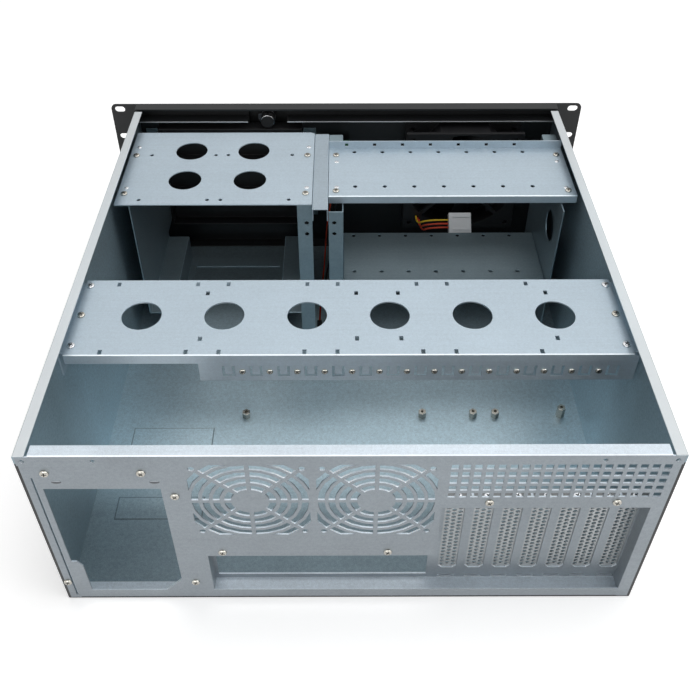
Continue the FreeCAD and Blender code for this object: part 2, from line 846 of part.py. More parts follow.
def make_disk_wall():
    """Left wall of the disk cage."""
    inner = disk_centre_x + disk_inside / 2
    top = cage_top - cage_sheet
    foot = sheet + cage_sheet
    path = [(inner + disk_flange, top), (inner, top), (inner, foot), (inner - disk_flange / 2, foot)]
    wall = folded_sheet("Y", at_depth(disk_wall_front), at_depth(cage_rear), path, cage_sheet)
    notch_z = (top - disk_plate_near_lip, top + 1)
    notch_y = (at_depth(disk_plate_rear) - cage_sheet, at_depth(cage_rear) + 1)
    wall = wall.cut(box((inner - 5, inner + disk_flange + 5), notch_y, notch_z))
    holes = [screw_hole("Z", top, 1, disk_screw_x(1), at_depth(d), cage_sheet) for d in disk_screw_depths]
    return cut_all(wall, holes)


def disk_hole_places():
    places = []
    for i in range(disk_hole_count):
        for distance in disk_hole_depths:
            places.append((disk_hole_first_x - i * disk_hole_pitch, at_depth(distance)))
    return places


def make_disk_plate():
    """Top plate of the disk cage: a lip up at the front and a lip down at the rear."""
    half = disk_inside / 2 + disk_flange
    near, far = at_depth(disk_plate_rear), at_depth(disk_plate_front)
    path = [
        (far, cage_top + disk_plate_lip), (far, cage_top),
        (near, cage_top), (near, cage_top - disk_plate_near_lip),
    ]
    plate = folded_sheet("X", disk_centre_x - half, disk_centre_x + half, path, -cage_sheet)
    z0, z1 = cage_top - 2 * cage_sheet, cage_top + 1
    cutters = [polygon_bar("Z", z0, z1, x, y, cage_hole, 6) for x, y in disk_hole_places()]
    for side in (-1, 1):
        for distance in disk_screw_depths:
            cutters.append(screw_hole("Z", cage_top, 1, disk_screw_x(side), at_depth(distance), cage_sheet))
    for i in range(disk_hole_count):
        x = disk_hole_first_x + 7.5 - i * disk_hole_pitch
        cutters.append(polygon_bar("Y", far - 2, far + 2, x, cage_top + disk_plate_lip / 2, 1.6, 4))
    return cut_all(plate, cutters)


def make_disk_shelf():
    """Lower plate of the disk cage, hung between its walls."""
    half = disk_inside / 2
    left, right = disk_centre_x + half, disk_centre_x - half
    lip = disk_shelf_top - disk_shelf_lip
    path = [(left, lip), (left, disk_shelf_top), (right, disk_shelf_top), (right, lip)]
    near, far = at_depth(disk_plate_rear), at_depth(disk_shelf_front)
    shelf = folded_sheet("Y", far, near, path, cage_sheet)
    z0, z1 = disk_shelf_top - 2 * cage_sheet, disk_shelf_top + 1
    cutters = [polygon_bar("Z", z0, z1, x, y, cage_hole, 6) for x, y in disk_hole_places()]
    return cut_all(shelf, cutters)


def channel_sides():
    """X of the two cage edges that the cable channel's cover lies between."""
    return disk_centre_x + disk_inside / 2 + disk_flange, bay_centre_x - bay_inside / 2 - bay_flange


def make_channel_cover():
    right, left = channel_sides()
    gap = cover_gap
    path = [
        (right + gap, cage_top - channel_width), (right + gap, cage_top),
        (left - gap, cage_top), (left - gap, cage_top - channel_width),
    ]
    return folded_sheet("Y", at_depth(channel_front), at_depth(channel_rear), path, -cage_sheet)


# ---------------------------------------------------------------- front


def lock_window_cutter(y0, y1, top):
    half = lock_window[0] / 2
    bottom = bay_bottom + bay_count * bay_pitch
    return box((lock_x - half, lock_x + half), (y0, y1), (bottom - 1, top))


def bay_opening_cutter(y0, y1):
    half = bay_opening / 2
    top = bay_bottom + bay_count * bay_pitch
    return box((bay_centre_x - half, bay_centre_x + half), (y0, y1), (bay_bottom, top))


def fan_mount_places():
    reach = fan_mount_spacing / 2
    return [(fan_x + sx, fan_z + sz) for sx in (-reach, reach) for sz in (-reach, reach)]


def control_cutters(y0, y1):
    """Holes for the two buttons and the lamps."""
    cutters = []
    for z, radius in ((power_button_z, power_button_radius), (reset_button_z, reset_button_radius)):
        cutters.append(polygon_bar("Y", y0, y1, control_x, z, radius + button_clearance, button_sides))
    for z in lamp_z:
        cutters.append(polygon_bar("Y", y0, y1, control_x, z, lamp_radius + button_clearance))
    return cutters


def make_front_frame():
    """The black channel across the front that carries the fan and the covers."""
    back = ear_back_y + frame_flange
    path = [(back, frame_height), (ear_back_y, frame_height), (ear_back_y, sheet), (back, sheet)]
    frame = folded_sheet("X", -wall_inner_x, wall_inner_x, path, sheet)
    y0, y1 = ear_back_y - 1, frame_back_y + 1
    frame = frame.cut(bay_opening_cutter(y0, y1)).cut(lock_window_cutter(y0, back + 1, frame_height + 1))
    cutters = [polygon_bar("Y", y0, y1, fan_x, fan_z, fan_bore - 1, fan_sides)]
    cutters += [polygon_bar("Y", y0, y1, x, z, fan_mount_hole, 6) for x, z in fan_mount_places()]
    return cut_all(frame, cutters + control_cutters(y0, y1))


def handle_ends():
    return handle_z - handle_span / 2, handle_z + handle_span / 2


def make_front_panel():
    """The rack panel with its ears, top return, vent and openings."""
    half = rack_width / 2
    y0, y1 = panel_front_y - 1, ear_back_y + 1
    plate = rounded_box("Y", panel_front_y, ear_back_y, (-half, half), (0, panel_height), ear_corner)
    flange_y = (panel_front_y, ear_back_y + panel_flange)
    flange = box((-half_width, half_width), flange_y, (panel_height - panel_sheet, panel_height))
    panel = join([plate, flange])
    top = lock_z + lock_window[1] / 2
    panel = panel.cut(bay_opening_cutter(y0, y1)).cut(lock_window_cutter(y0, y1, top))
    cutters = control_cutters(y0, y1)
    for side in (-1, 1):
        for z in ear_slot_rows:
            x = side * ear_slot_spacing_x / 2
            cutters.append(long_hole("Y", y0, y1, x, z, ear_slot_length, ear_slot_width))
        for z in handle_ends():
            cutters.append(screw_hole("Y", ear_back_y, 1, side * handle_x, z, panel_sheet))
    rows = (front_vent_rows - 1) / 2
    for row in range(front_vent_rows):
        z = fan_z + (row - rows) * front_vent_pitch[1]
        for side in (-1, 1):
            x = fan_x + side * front_vent_pitch[0] / 2
            if abs(row - rows) < rows:
                cutters.append(small_slot("Y", y0, y1, x, z, front_vent_slot[0], front_vent_slot[1]))
    cutters += [polygon_bar("Y", y0, y1, x, z, fan_mount_hole, 6) for x, z in fan_mount_places()]
    return cut_all(panel, cutters)


def make_bay_cover(index):
    """One snap-in drive bay cover, a shallow tray open to the rear."""
    half = bay_opening / 2 - bay_cover_play
    low = bay_bottom + index * bay_pitch + bay_cover_play
    high = low + bay_pitch - 2 * bay_cover_play
    sides = (bay_centre_x - half, bay_centre_x + half)
    back = panel_front_y + bay_cover_depth
    cover = box(sides, (panel_front_y, back), (low, high))
    wall = bay_cover_wall
    inside = (sides[0] + wall, sides[1] - wall)
    return cover.cut(box(inside, (panel_front_y + wall, back + 1), (low + wall, high - wall)))


def make_handle(side):
    """An eight-sided bar handle, bent to a U, standing on a rack ear."""
    bottom, top = handle_ends()
    x = side * handle_x
    reach = panel_front_y - handle_reach + handle_radius
    bend = handle_bend
    points = [Vector(x, panel_front_y, bottom)]
    for i in range(handle_bend_runs + 1):
        angle = math.pi / 2 * i / handle_bend_runs
        y, z = bend * (1 - math.sin(angle)), bend * (1 - math.cos(angle))
        points.append(Vector(x, reach + y, bottom + z))
    points += [Vector(x, p.y, bottom + top - p.z) for p in points[::-1]]
    outline = rounded_wire("Y", panel_front_y, polygon_outline(x, bottom, handle_radius))
    return Part.makePolygon(points).makePipeShell([outline], True, False, 1)


# ---------------------------------------------------------------- fan


def fan_planes():
    """Front and rear Y of the fan, which stands against the front frame."""
    return frame_back_y, frame_back_y + fan_thickness


def make_fan_frame():
    """The fan's housing: two square flanges on an eight-sided duct, and the motor's seat."""
    front, back = fan_planes()
    half = fan_size / 2
    flange = fan_flange
    x_range, z_range = (fan_x - half, fan_x + half), (fan_z - half, fan_z + half)
    frame = join([
        box(x_range, (front, front + flange), z_range),
        polygon_bar("Y", front, back, fan_x, fan_z, half),
        box(x_range, (back - flange, back), z_range),
    ])
    frame = frame.cut(polygon_bar("Y", front - 1, back + 1, fan_x, fan_z, fan_bore, fan_sides))
    base = cylinder("Y", back - flange, back, fan_x, fan_z, fan_hub)
    struts = []
    for i in range(4):
        strut_x = (fan_x + fan_hub - 2, fan_x + fan_bore + 1)
        strut = box(strut_x, (back - flange, back), (fan_z - 2, fan_z + 2))
        strut.rotate(Vector(fan_x, 0, fan_z), Vector(0, 1, 0), 45 + 90 * i)
        struts.append(strut)
    frame = join([frame, base] + struts)
    bearing = fan_shaft + fan_shaft_clearance
    cutters = [cylinder("Y", back - flange - 1, back - 1, fan_x, fan_z, bearing)]
    y0, y1 = front - 1, back + 1
    cutters += [polygon_bar("Y", y0, y1, x, z, fan_mount_hole, 6) for x, z in fan_mount_places()]
    return cut_all(frame, cutters)


def make_fan_rotor():
    front, back = fan_planes()
    hub_front, hub_back = front + 2 * fan_gap, back - fan_flange - fan_gap
    hub = cylinder("Y", hub_front, hub_back, fan_x, fan_z, fan_hub)
    shaft = cylinder("Y", hub_back - 0.5, back - 2, fan_x, fan_z, fan_shaft)
    middle = (hub_front + hub_back) / 2
    half_chord = fan_blade_chord / 2
    thickness = (fan_z - fan_blade_thickness / 2, fan_z + fan_blade_thickness / 2)
    blade_y = (middle - half_chord, middle + half_chord)
    blade = box((fan_x + fan_hub - 2, fan_x + fan_blade_tip), blade_y, thickness)
    blade.rotate(Vector(fan_x, middle, fan_z), Vector(1, 0, 0), fan_blade_pitch)
    pieces = [hub, shaft]
    for i in range(fan_blades):
        copy = blade.copy()
        copy.rotate(Vector(fan_x, 0, fan_z), Vector(0, 1, 0), 360 * i / fan_blades)
        pieces.append(copy)
    return join(pieces)


def make_dust_filter():
    """A round mesh filter between the vent and the fan, as one thin plate."""
    radius = fan_bore - 1 - fit_gap
    return polygon_bar("Y", ear_back_y, ear_back_y + filter_sheet, fan_x, fan_z, radius, fan_sides)


def make_fan_screws():
    seat = panel_front_y
    return [screw("Y", seat, -1, x, z, panel_sheet + sheet + fan_flange) for x, z in fan_mount_places()]


# ---------------------------------------------------------------- door and lock


def hinge_y():
    return panel_front_y - hinge_from_panel


def door_skin_y():
    """Front face of the door's skin."""
    return panel_front_y - door_gap - door_edge


def make_door():
    """The door's folded sheet, with an ear at each lower corner for its hinge pin."""
    front = door_skin_y()
    back = front + door_edge
    path = [(door_left, back), (door_left, front), (door_right, front), (door_right, back)]
    door = folded_sheet("Z", door_bottom, door_top, path, -door_sheet)
    top_edge = box((door_right, door_left), (front, back), (door_top - door_sheet, door_top))
    door = join([door, top_edge])
    trim_y = (front + door_sheet, back + 1)
    door = door.cut(box((door_right - 1, door_left + 1), trim_y, (door_bottom - 1, hinge_z)))
    ears = []
    for x0, x1 in ((door_right, door_right + door_sheet), (door_left - door_sheet, door_left)):
        ears.append(cylinder("X", x0, x1, hinge_y(), hinge_z, hinge_z - door_bottom))
    door = join([door] + ears)
    bore = cylinder("X", door_right - 1, door_left + 1, hinge_y(), hinge_z, hinge_pin + hinge_clearance)
    lock_hole = cylinder("Y", front - 1, back + 1, lock_x, lock_z, lock_radius + hinge_clearance)
    return door.cut(bore).cut(lock_hole)


def hinge_lug_x(side):
    """Inner and outer X of the fixed lug beside one edge of the door."""
    edge = door_left if side > 0 else door_right
    inner = edge + side * fit_gap
    return inner, inner + side * hinge_ear


def make_hinge_lug(side):
    """A lug on the rack panel that holds one hinge pin."""
    inner, outer = hinge_lug_x(side)
    y, r = hinge_y(), hinge_z - door_bottom
    lug = box((inner, outer), (y, panel_front_y), (hinge_z - r, hinge_z + r))
    lug = join([lug, cylinder("X", inner, outer, y, hinge_z, r)])
    return lug.cut(cylinder("X", inner - side, outer + side, y, hinge_z, hinge_pin))


def make_hinge_pin(side):
    """A headed pin, tight in its lug and free in the door's ear."""
    inner, outer = hinge_lug_x(side)
    edge = door_left if side > 0 else door_right
    tip = edge - side * door_sheet
    pin = cylinder("X", tip, outer, hinge_y(), hinge_z, hinge_pin)
    head = cylinder("X", outer, outer + side * hinge_pin, hinge_y(), hinge_z, 2 * hinge_pin)
    return join([pin, head])


def make_lock_barrel():
    front = door_skin_y()
    body = cylinder("Y", front, front + lock_reach, lock_x, lock_z, lock_radius)
    bezel = cylinder("Y", front - 1, front, lock_x, lock_z, lock_bezel)
    keyway = box((lock_x - 0.8, lock_x + 0.8), (front - 2, front + 6), (lock_z - 4, lock_z + 4))
    return join([body, bezel]).cut(keyway)


def make_lock_cam():
    """The collar and nose behind the rack panel that hold the door when the lock is turned."""
    front = frame_back_y + fan_gap
    back = front + lock_cam_sheet
    ring = cylinder("Y", front, back, lock_x, lock_z, lock_radius + 0.8)
    nose_z = (lock_z - lock_cam_width / 2, lock_z + lock_cam_width / 2)
    nose = box((lock_x, lock_x + lock_cam_length), (front, back), nose_z)
    nose = nose.common(cylinder("Y", front, back, lock_x, lock_z, lock_cam_length))
    return join([ring, nose]).cut(cylinder("Y", front - 1, back + 1, lock_x, lock_z, lock_radius))


# ---------------------------------------------------------------- buttons and board


def board_y():
    return frame_back_y + board_gap


def make_button(z, radius):
    """A push button: cap, retaining collar and the stem that reaches its switch."""
    collar_y = frame_back_y + button_clearance
    stem_end = board_y() - switch_height - switch_gap - button_travel
    cap = polygon_bar("Y", panel_front_y - button_proud, collar_y, control_x, z, radius, button_sides)
    collar = polygon_bar("Y", collar_y, collar_y + 1, control_x, z, radius + 1, button_sides)
    stem = polygon_bar("Y", collar_y, stem_end, control_x, z, button_stem, 6)
    return join([cap, collar, stem])


def make_board():
    low, high = min(lamp_z) - 9, power_button_z + 12
    half = control_width / 2
    board = box((control_x - half, control_x + half), (board_y(), board_y() + board_thickness), (low, high))
    return board


def make_board_posts():
    low, high = min(lamp_z) - 5, power_button_z + 8
    places = [(control_x - control_width / 2 + 4, low), (control_x + control_width / 2 - 4, high)]
    return [polygon_bar("Y", frame_back_y, board_y(), x, z, 2.5, 6) for x, z in places]


def make_switches():
    pieces = []
    for z in (power_button_z, reset_button_z):
        y_range = (board_y() - switch_height, board_y())
        pieces.append(box((control_x - 3, control_x + 3), y_range, (z - 3, z + 3)))
    return pieces


def make_lamps():
    pieces = []
    for z in lamp_z:
        lens = polygon_bar("Y", panel_front_y - 0.8, board_y(), control_x, z, lamp_radius, 10)
        pieces.append(lens)
    return pieces


# ---------------------------------------------------------------- leads


def lead(axis, points):
    """A six-sided lead along straight runs joined by arcs; its first run follows the axis."""
    places = [Vector(*point) for point in points]
    edges = []
    start = places[0]
    for before, here, after in zip(places, places[1:], places[2:]):
        back, ahead = before - here, after - here
        reach = 0.45 * min(back.Length, ahead.Length)
        half_turn = (math.pi - back.getAngle(ahead)) / 2
        radius = reach / math.tan(half_turn)
        back.normalize()
        ahead.normalize()
        middle = back + ahead
        middle.normalize()
        tip = here + middle * (radius / math.cos(half_turn) - radius)
        edges.append(Part.makeLine(start, here + back * reach))
        start = here + ahead * reach
        edges.append(Part.Arc(here + back * reach, tip, start).toShape())
    edges.append(Part.makeLine(start, places[-1]))
    x, y, z = points[0]
    along, u, v = (x, y, z) if axis == "X" else (y, x, z)
    outline = rounded_wire(axis, along, polygon_outline(u, v, lead_radius, 6))
    return Part.Wire(edges).makePipeShell([outline], True, False)


def fan_plug_corners():
    """Y and Z of the plug's section: its broad face runs up and forward from the shelf's edge."""
    lean = math.radians(fan_plug_lean)
    up = (-math.cos(lean) * fan_plug_size[1], math.sin(lean) * fan_plug_size[1])
    under = (-math.sin(lean) * fan_plug_size[2], -math.cos(lean) * fan_plug_size[2])
    y, z = at_depth(disk_shelf_front), disk_shelf_top - fit_gap / 2
    return [
        (y, z), (y + up[0], z + up[1]),
        (y + up[0] + under[0], z + up[1] + under[1]), (y + under[0], z + under[1]),
    ]


def make_fan_plug():
    corners = [(y, z, 0) for y, z in fan_plug_corners()]
    return extrusion("X", fan_plug_left - fan_plug_size[0], fan_plug_left, corners)


def make_fan_lead(index):
    """One of the leads from the plug's end down to the rear face of the fan."""
    corners = fan_plug_corners()
    lean = math.radians(fan_plug_lean)
    offset = (index - 1) * fan_lead_spacing
    y = (corners[0][0] + corners[2][0]) / 2 - offset * math.cos(lean)
    z = (corners[0][1] + corners[2][1]) / 2 + offset * math.sin(lean)
    turn_x = fan_plug_left + 20 + 2 * index
    drop_x, drop_z = turn_x + 8, z - 14
    return lead("X", [
        (fan_plug_left, y, z), (turn_x, y, z), (drop_x, y - 11, drop_z), (drop_x, fan_planes()[1], drop_z),
    ])


def housing_x(index):
    right, left = channel_sides()
    return (right + left) / 2 + (index - 0.5) * (housing_size[0] + 2)


def make_panel_lead(index):
    """One of the leads from the control board down to the floor and back along the channel."""
    x = control_x - 3 + 6 * index
    board_back = board_y() + board_thickness
    floor = sheet + lead_radius / math.cos(math.pi / 6)
    end_x, end_y = housing_x(index), at_depth(housing_depth) - housing_size[1]
    return lead("Y", [
        (x, board_back, panel_lead_z), (x, board_back + 14, panel_lead_z),
        (x + 7, board_back + 19 + index, panel_lead_z / 2), (x + 9, board_back + 27, floor),
        (end_x + 3 - 5 * index, (board_back + end_y) / 2, floor),
        (end_x, end_y - 16, floor), (end_x, end_y, floor),
    ])


def make_lead_housings():
    """The small connector housings on the ends of the control board's leads."""
    half = housing_size[0] / 2
    near = at_depth(housing_depth)
    y_range = (near - housing_size[1], near)
    pieces = []
    for index in range(2):
        x = housing_x(index)
        pieces.append(box((x - half, x + half), y_range, (sheet, sheet + housing_size[2])))
    return pieces


# ---------------------------------------------------------------- fasteners


def make_rear_screws():
    pieces = []
    for x, z, behind in rear_screw_places():
        pieces.append(screw("Y", rear_y, 1, x, z, 2 * sheet if behind else 1.5 * sheet))
    return pieces


def make_cover_screws():
    seat = recess_slot_top + sheet + cover_sheet
    pieces = []
    for i in range(slot_count):
        x = slot_first_x - i * slot_pitch
        pieces.append(screw("Z", seat, 1, x, cover_screw_y(), cover_sheet + sheet))
    return pieces


def make_bar_screws():
    pieces = []
    for side in (-1, 1):
        for distance in bar_screw_depths:
            pieces.append(screw("Z", bar_top, 1, side * bar_screw_x, at_depth(distance), 2 * sheet))
    return pieces


def make_clamp_screws():
    middle = (clamp_bottom + bar_top - bar_flange) / 2
    pieces = []
    for i in range(clamp_tab_count - 1):
        x = clamp_first_tab_x - (i + 0.5) * slot_pitch
        pieces.append(screw("Y", clamp_y(), 1, x, middle, cage_sheet + 2, 2.4))
    return pieces


def make_cage_screws():
    pieces = []
    for side in (-1, 1):
        for distance in bay_screw_depths:
            pieces.append(screw("Z", cage_top, 1, bay_screw_x(side), at_depth(distance), 2 * cage_sheet))
        for distance in disk_screw_depths:
            pieces.append(screw("Z", cage_top, 1, disk_screw_x(side), at_depth(distance), 2 * cage_sheet))
    return pieces


def make_handle_screws():
    pieces = []
    for side in (-1, 1):
        for z in handle_ends():
            x, head_y = side * handle_x, ear_back_y + screw_head_height
            pieces.append(polygon_bar("Y", ear_back_y, head_y, x, z, handle_screw_head))
            pieces.append(polygon_bar("Y", panel_front_y, ear_back_y, x, z, screw_shank_radius, 6))
    return pieces


def make_standoffs():
    y = at_depth(standoff_depth)
    pieces = [polygon_bar("Z", sheet, sheet + standoff_height, x, y, standoff_radius, 6) for x in standoff_x]
    pieces.append(polygon_bar("Z", sheet, sheet + standoff_tall, standoff_tall_x, y, standoff_radius, 6))
    return pieces


# ---------------------------------------------------------------- assembly


def main():
    os.makedirs("parts", exist_ok=True)

    export("tray", make_tray())
    export("rear_panel", make_rear_panel())
    export("slot_recess", make_slot_recess())
    for i in range(slot_count):
        export("slot_cover_" + str(i + 1), make_slot_cover(slot_first_x - i * slot_pitch))

    export("crossbar", make_crossbar())
    bracket = make_bar_bracket()
    export("crossbar_bracket_left", bracket)
    export("crossbar_bracket_right", mirrored(bracket))
    export("card_clamp", make_card_clamp())

    top = cage_top - cage_sheet
    bay_wall = make_bay_wall()
    bay_outer = bay_centre_x - bay_inside / 2
    export("bay_wall_left", bay_wall)
    export("bay_wall_right", add_post(mirrored(bay_wall, bay_centre_x), bay_outer, -1, top - cage_sheet))
    export("bay_plate", make_bay_plate())
    export("bay_tie", make_bay_tie())
    disk_wall = make_disk_wall()
    post_top = top - disk_plate_near_lip
    disk_outer = disk_centre_x + disk_inside / 2
    export("disk_wall_left", add_post(disk_wall, disk_outer, 1, post_top))
    side_hole = cylinder(
        "X", disk_centre_x - disk_inside, disk_centre_x, at_depth(disk_side_hole[0]), disk_side_hole[1],
        disk_side_hole_radius)
    export("disk_wall_right", mirrored(disk_wall, disk_centre_x).cut(side_hole))
    export("disk_plate", make_disk_plate())
    export("disk_shelf", make_disk_shelf())
    export("channel_cover", make_channel_cover())

    export("front_panel", make_front_panel())
    export("front_frame", make_front_frame())
    for i in range(bay_count):
        export("bay_cover_" + str(i + 1), make_bay_cover(i))
    export("handle_left", make_handle(1))
    export("handle_right", make_handle(-1))

    export("dust_filter", make_dust_filter())
    export("fan_frame", make_fan_frame())
    export("fan_rotor", make_fan_rotor())

    export("door", make_door())
    export("hinge_lug_left", make_hinge_lug(1))
    export("hinge_lug_right", make_hinge_lug(-1))
    export("hinge_pins", Part.makeCompound([make_hinge_pin(1), make_hinge_pin(-1)]))
    export("lock_barrel", make_lock_barrel())
    export("lock_cam", make_lock_cam())

    export("power_button", make_button(power_button_z, power_button_radius))
    export("reset_button", make_button(reset_button_z, reset_button_radius))
    export("control_board", make_board())
    export("board_posts", Part.makeCompound(make_board_posts()))
    export("switches", Part.makeCompound(make_switches()))
    export("lamps", Part.makeCompound(make_lamps()))

    export("fan_plug", make_fan_plug())
    for i in range(3):
        export("fan_lead_" + str(i + 1), make_fan_lead(i))
    for i in range(2):
        export("panel_lead_" + str(i + 1), make_panel_lead(i))
    export("lead_housings", Part.makeCompound(make_lead_housings()))

    export("rear_screws", Part.makeCompound(make_rear_screws()))
    export("cover_screws", Part.makeCompound(make_cover_screws()))
    export("bar_screws", Part.makeCompound(make_bar_screws()))
    export("clamp_screws", Part.makeCompound(make_clamp_screws()))
    export("cage_screws", Part.makeCompound(make_cage_screws()))
    export("fan_screws", Part.makeCompound(make_fan_screws()))
    export("handle_screws", Part.makeCompound(make_handle_screws()))
    export("standoffs", Part.makeCompound(make_standoffs()))


main()
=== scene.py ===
import json
import math

import bmesh
import bpy
from mathutils import Euler, Matrix, Vector


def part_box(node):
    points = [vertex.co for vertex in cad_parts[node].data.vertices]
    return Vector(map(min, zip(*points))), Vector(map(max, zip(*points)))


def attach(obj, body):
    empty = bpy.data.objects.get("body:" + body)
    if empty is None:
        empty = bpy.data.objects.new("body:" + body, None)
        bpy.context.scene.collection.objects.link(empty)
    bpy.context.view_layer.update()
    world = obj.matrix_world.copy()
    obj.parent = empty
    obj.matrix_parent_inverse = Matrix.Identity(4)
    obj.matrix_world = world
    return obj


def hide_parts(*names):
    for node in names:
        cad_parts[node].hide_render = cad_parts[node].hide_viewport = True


bl_info = {
    "name": "Rackmount server case",
    "version": (1, 0, 0),
    "blender": (4, 5, 0),
    "location": "View3D > Sidebar > Server case",
    "description": "Dresses the packed server case with its finishes, fasteners and fine detail",
    "category": "Object",
}

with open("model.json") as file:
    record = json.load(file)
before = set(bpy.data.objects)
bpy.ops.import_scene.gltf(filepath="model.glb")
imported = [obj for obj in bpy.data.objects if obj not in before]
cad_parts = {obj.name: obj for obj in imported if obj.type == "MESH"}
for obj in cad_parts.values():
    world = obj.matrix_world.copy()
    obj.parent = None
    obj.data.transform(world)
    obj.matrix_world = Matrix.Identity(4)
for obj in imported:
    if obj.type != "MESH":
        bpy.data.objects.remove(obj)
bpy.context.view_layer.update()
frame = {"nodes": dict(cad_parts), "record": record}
MM = 0.001
CASE_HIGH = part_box("tray")[1]
UP, REARWARD, FORWARD = (0, 0, 1), (0, 1, 0), (0, -1, 0)
COVER_SHEET = 0.9 * MM          # sheet of the card slot covers
SLOT_LOW = 22.0 * MM            # lower edge of the card slots
PLUG_LEAN = math.radians(40.5)
GREY = (0.5, 0.5, 0.5, 1)
GROUPS = {}
MATERIALS = {}


# ---------- sizes and colours


def size_property(name, description, millimetres):
    return bpy.props.FloatProperty(
        name=name, description=description, default=millimetres * MM, unit="LENGTH", precision=5)


def colour_property(name, description, *channels):
    return bpy.props.FloatVectorProperty(name=name, description=description, default=channels, subtype="COLOR")


class CaseSizes(bpy.types.PropertyGroup):
    """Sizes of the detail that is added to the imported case."""

    edge_break: size_property("Edge break", "Width of the broken edge along cut sheet metal", 0.22)
    bend_radius: size_property("Bend radius", "Outer radius of the folds in the sheet metal", 1.1)
    screw_radius: size_property("Screw head", "Radius of the pan head screws", 3.1)
    perforation_pitch: size_property("Perforation pitch", "Distance between holes in a slot cover", 4.3)
    perforation_radius: size_property("Perforation hole", "Radius of each hole in a slot cover", 1.68)
    perforation_rows: bpy.props.IntProperty(
        name="Perforation rows", description="Rows of holes in each slot cover", default=20, min=2, max=40)
    blade_count: bpy.props.IntProperty(
        name="Fan blades", description="Number of blades on the front fan", default=7, min=3, max=13)
    lead_diameter: size_property("Lead", "Diameter of the small leads", 1.8)


class CaseColours(bpy.types.PropertyGroup):
    """Base colours of the finishes."""

    plated: colour_property("Plated sheet", "Zinc plated top plates and crossbar", 0.475, 0.565, 0.635)
    # The rear colour is the plating's own purplish grey and, in part, painted shade: the upright rear face is
    # kept darker than the top plates of the same zinc.
    rear: colour_property("Rear face", "Zinc plated rear panel and its recess", 0.285, 0.32, 0.35)
    inside: colour_property("Chassis", "Zinc plated floor and inner walls", 0.49, 0.635, 0.71)
    paint: colour_property("Black paint", "Powder coat of the front and the outer skin", 0.010, 0.011, 0.012)
    plastic: colour_property("Black plastic", "Fan, bay covers and buttons", 0.007, 0.007, 0.008)
    brass: colour_property("Passivated screws", "Yellowish screws and standoffs", 0.47, 0.455, 0.41)


def sizes():
    return bpy.context.scene.case_sizes


def colours():
    return bpy.context.scene.case_colours


# ---------- nodes


class Graph:
    """A node tree, with short ways to add nodes and to feed their inputs."""

    def __init__(self, tree):
        self.tree = tree

    def feed(self, target, value):
        """Links a socket to an input, or sets a plain number or colour there."""
        if isinstance(value, bpy.types.NodeSocket):
            self.tree.links.new(value, target)
        elif isinstance(value, (int, float)):
            target.default_value = value
        else:
            target.default_value = (*value, 1.0)

    def fed(self, node, values):
        """The node, with its inputs fed by name."""
        for name, value in values.items():
            self.feed(node.inputs[name.replace("_", " ")], value)
        return node

    def add(self, kind, **values):
        return self.fed(self.tree.nodes.new(kind), values)

    def grouped(self, maker, **values):
        """Outputs of the shared node group that this maker builds, built only once."""
        if maker.__name__ not in GROUPS:
            GROUPS[maker.__name__] = maker()
        node = self.add("ShaderNodeGroup")
        node.node_tree = GROUPS[maker.__name__]
        return self.fed(node, values).outputs

    def coordinates(self, kind="Object"):
        return self.add("ShaderNodeTexCoord").outputs[kind]

    def axes(self, vector):
        return self.add("ShaderNodeSeparateXYZ", Vector=vector).outputs

    def noise(self, vector, scale, detail=2.0, rough=0.5):
        return self.add(
            "ShaderNodeTexNoise", Vector=vector, Scale=scale, Detail=detail, Roughness=rough).outputs["Fac"]

    def maths(self, operation, *values):
        node = self.add("ShaderNodeMath")
        node.operation = operation
        for target, value in zip(node.inputs, values):
            self.feed(target, value)
        return node.outputs[0]

    def times(self, first, second):
        return self.maths("MULTIPLY", first, second)

    def plus(self, base, value, amount):
        """The base and this amount of the value."""
        return self.maths("MULTIPLY_ADD", value, amount, base)

    def ranged(self, value, low, high, to_low=0.0, to_high=1.0):
        return self.add("ShaderNodeMapRange", Value=value, From_Min=low, From_Max=high, To_Min=to_low,
                        To_Max=to_high).outputs["Result"]

    def swing(self, value, low=0.3, high=0.7, reach=1.0):
        """A noise as a change to both sides of zero."""
        return self.ranged(value, low, high, -reach, reach)

    def above(self, value, threshold, width):
        """1 above a threshold and 0 below it, with a narrow soft edge."""
        return self.ranged(value, threshold - width, threshold + width)

    def below(self, value, threshold, width):
        return self.ranged(value, threshold - width, threshold + width, 1.0, 0.0)

    def scaled(self, colour, factor):
        """A colour, brighter or darker by a factor."""
        node = self.add("ShaderNodeVectorMath")
        node.operation = "SCALE"
        self.feed(node.inputs[0], colour)
        self.feed(node.inputs["Scale"], factor)
        return node.outputs["Vector"]

    def mixed(self, factor, first, second):
        """A colour mix; each input is a socket or a plain colour."""
        node = self.add("ShaderNodeMix")
        node.data_type = "RGBA"
        for index, value in ((0, factor), (6, first), (7, second)):
            self.feed(node.inputs[index], value)
        return node.outputs[2]


def new_group(name, inputs, outputs):
    """A shader node group from the defaults of its inputs and the names of its outputs."""
    kinds = {"Vector": "NodeSocketVector", "Normal": "NodeSocketVector", "Colour": "NodeSocketColor"}
    graph = Graph(bpy.data.node_groups.new(name, "ShaderNodeTree"))
    new_socket = graph.tree.interface.new_socket
    for label, default in inputs.items():
        socket = new_socket(label, in_out="INPUT", socket_type=kinds.get(label, "NodeSocketFloat"))
        if default is not None:
            socket.default_value = default
    for label in outputs:
        new_socket(label, in_out="OUTPUT", socket_type=kinds.get(label, "NodeSocketFloat"))
    return graph, graph.add("NodeGroupInput").outputs, graph.add("NodeGroupOutput").inputs


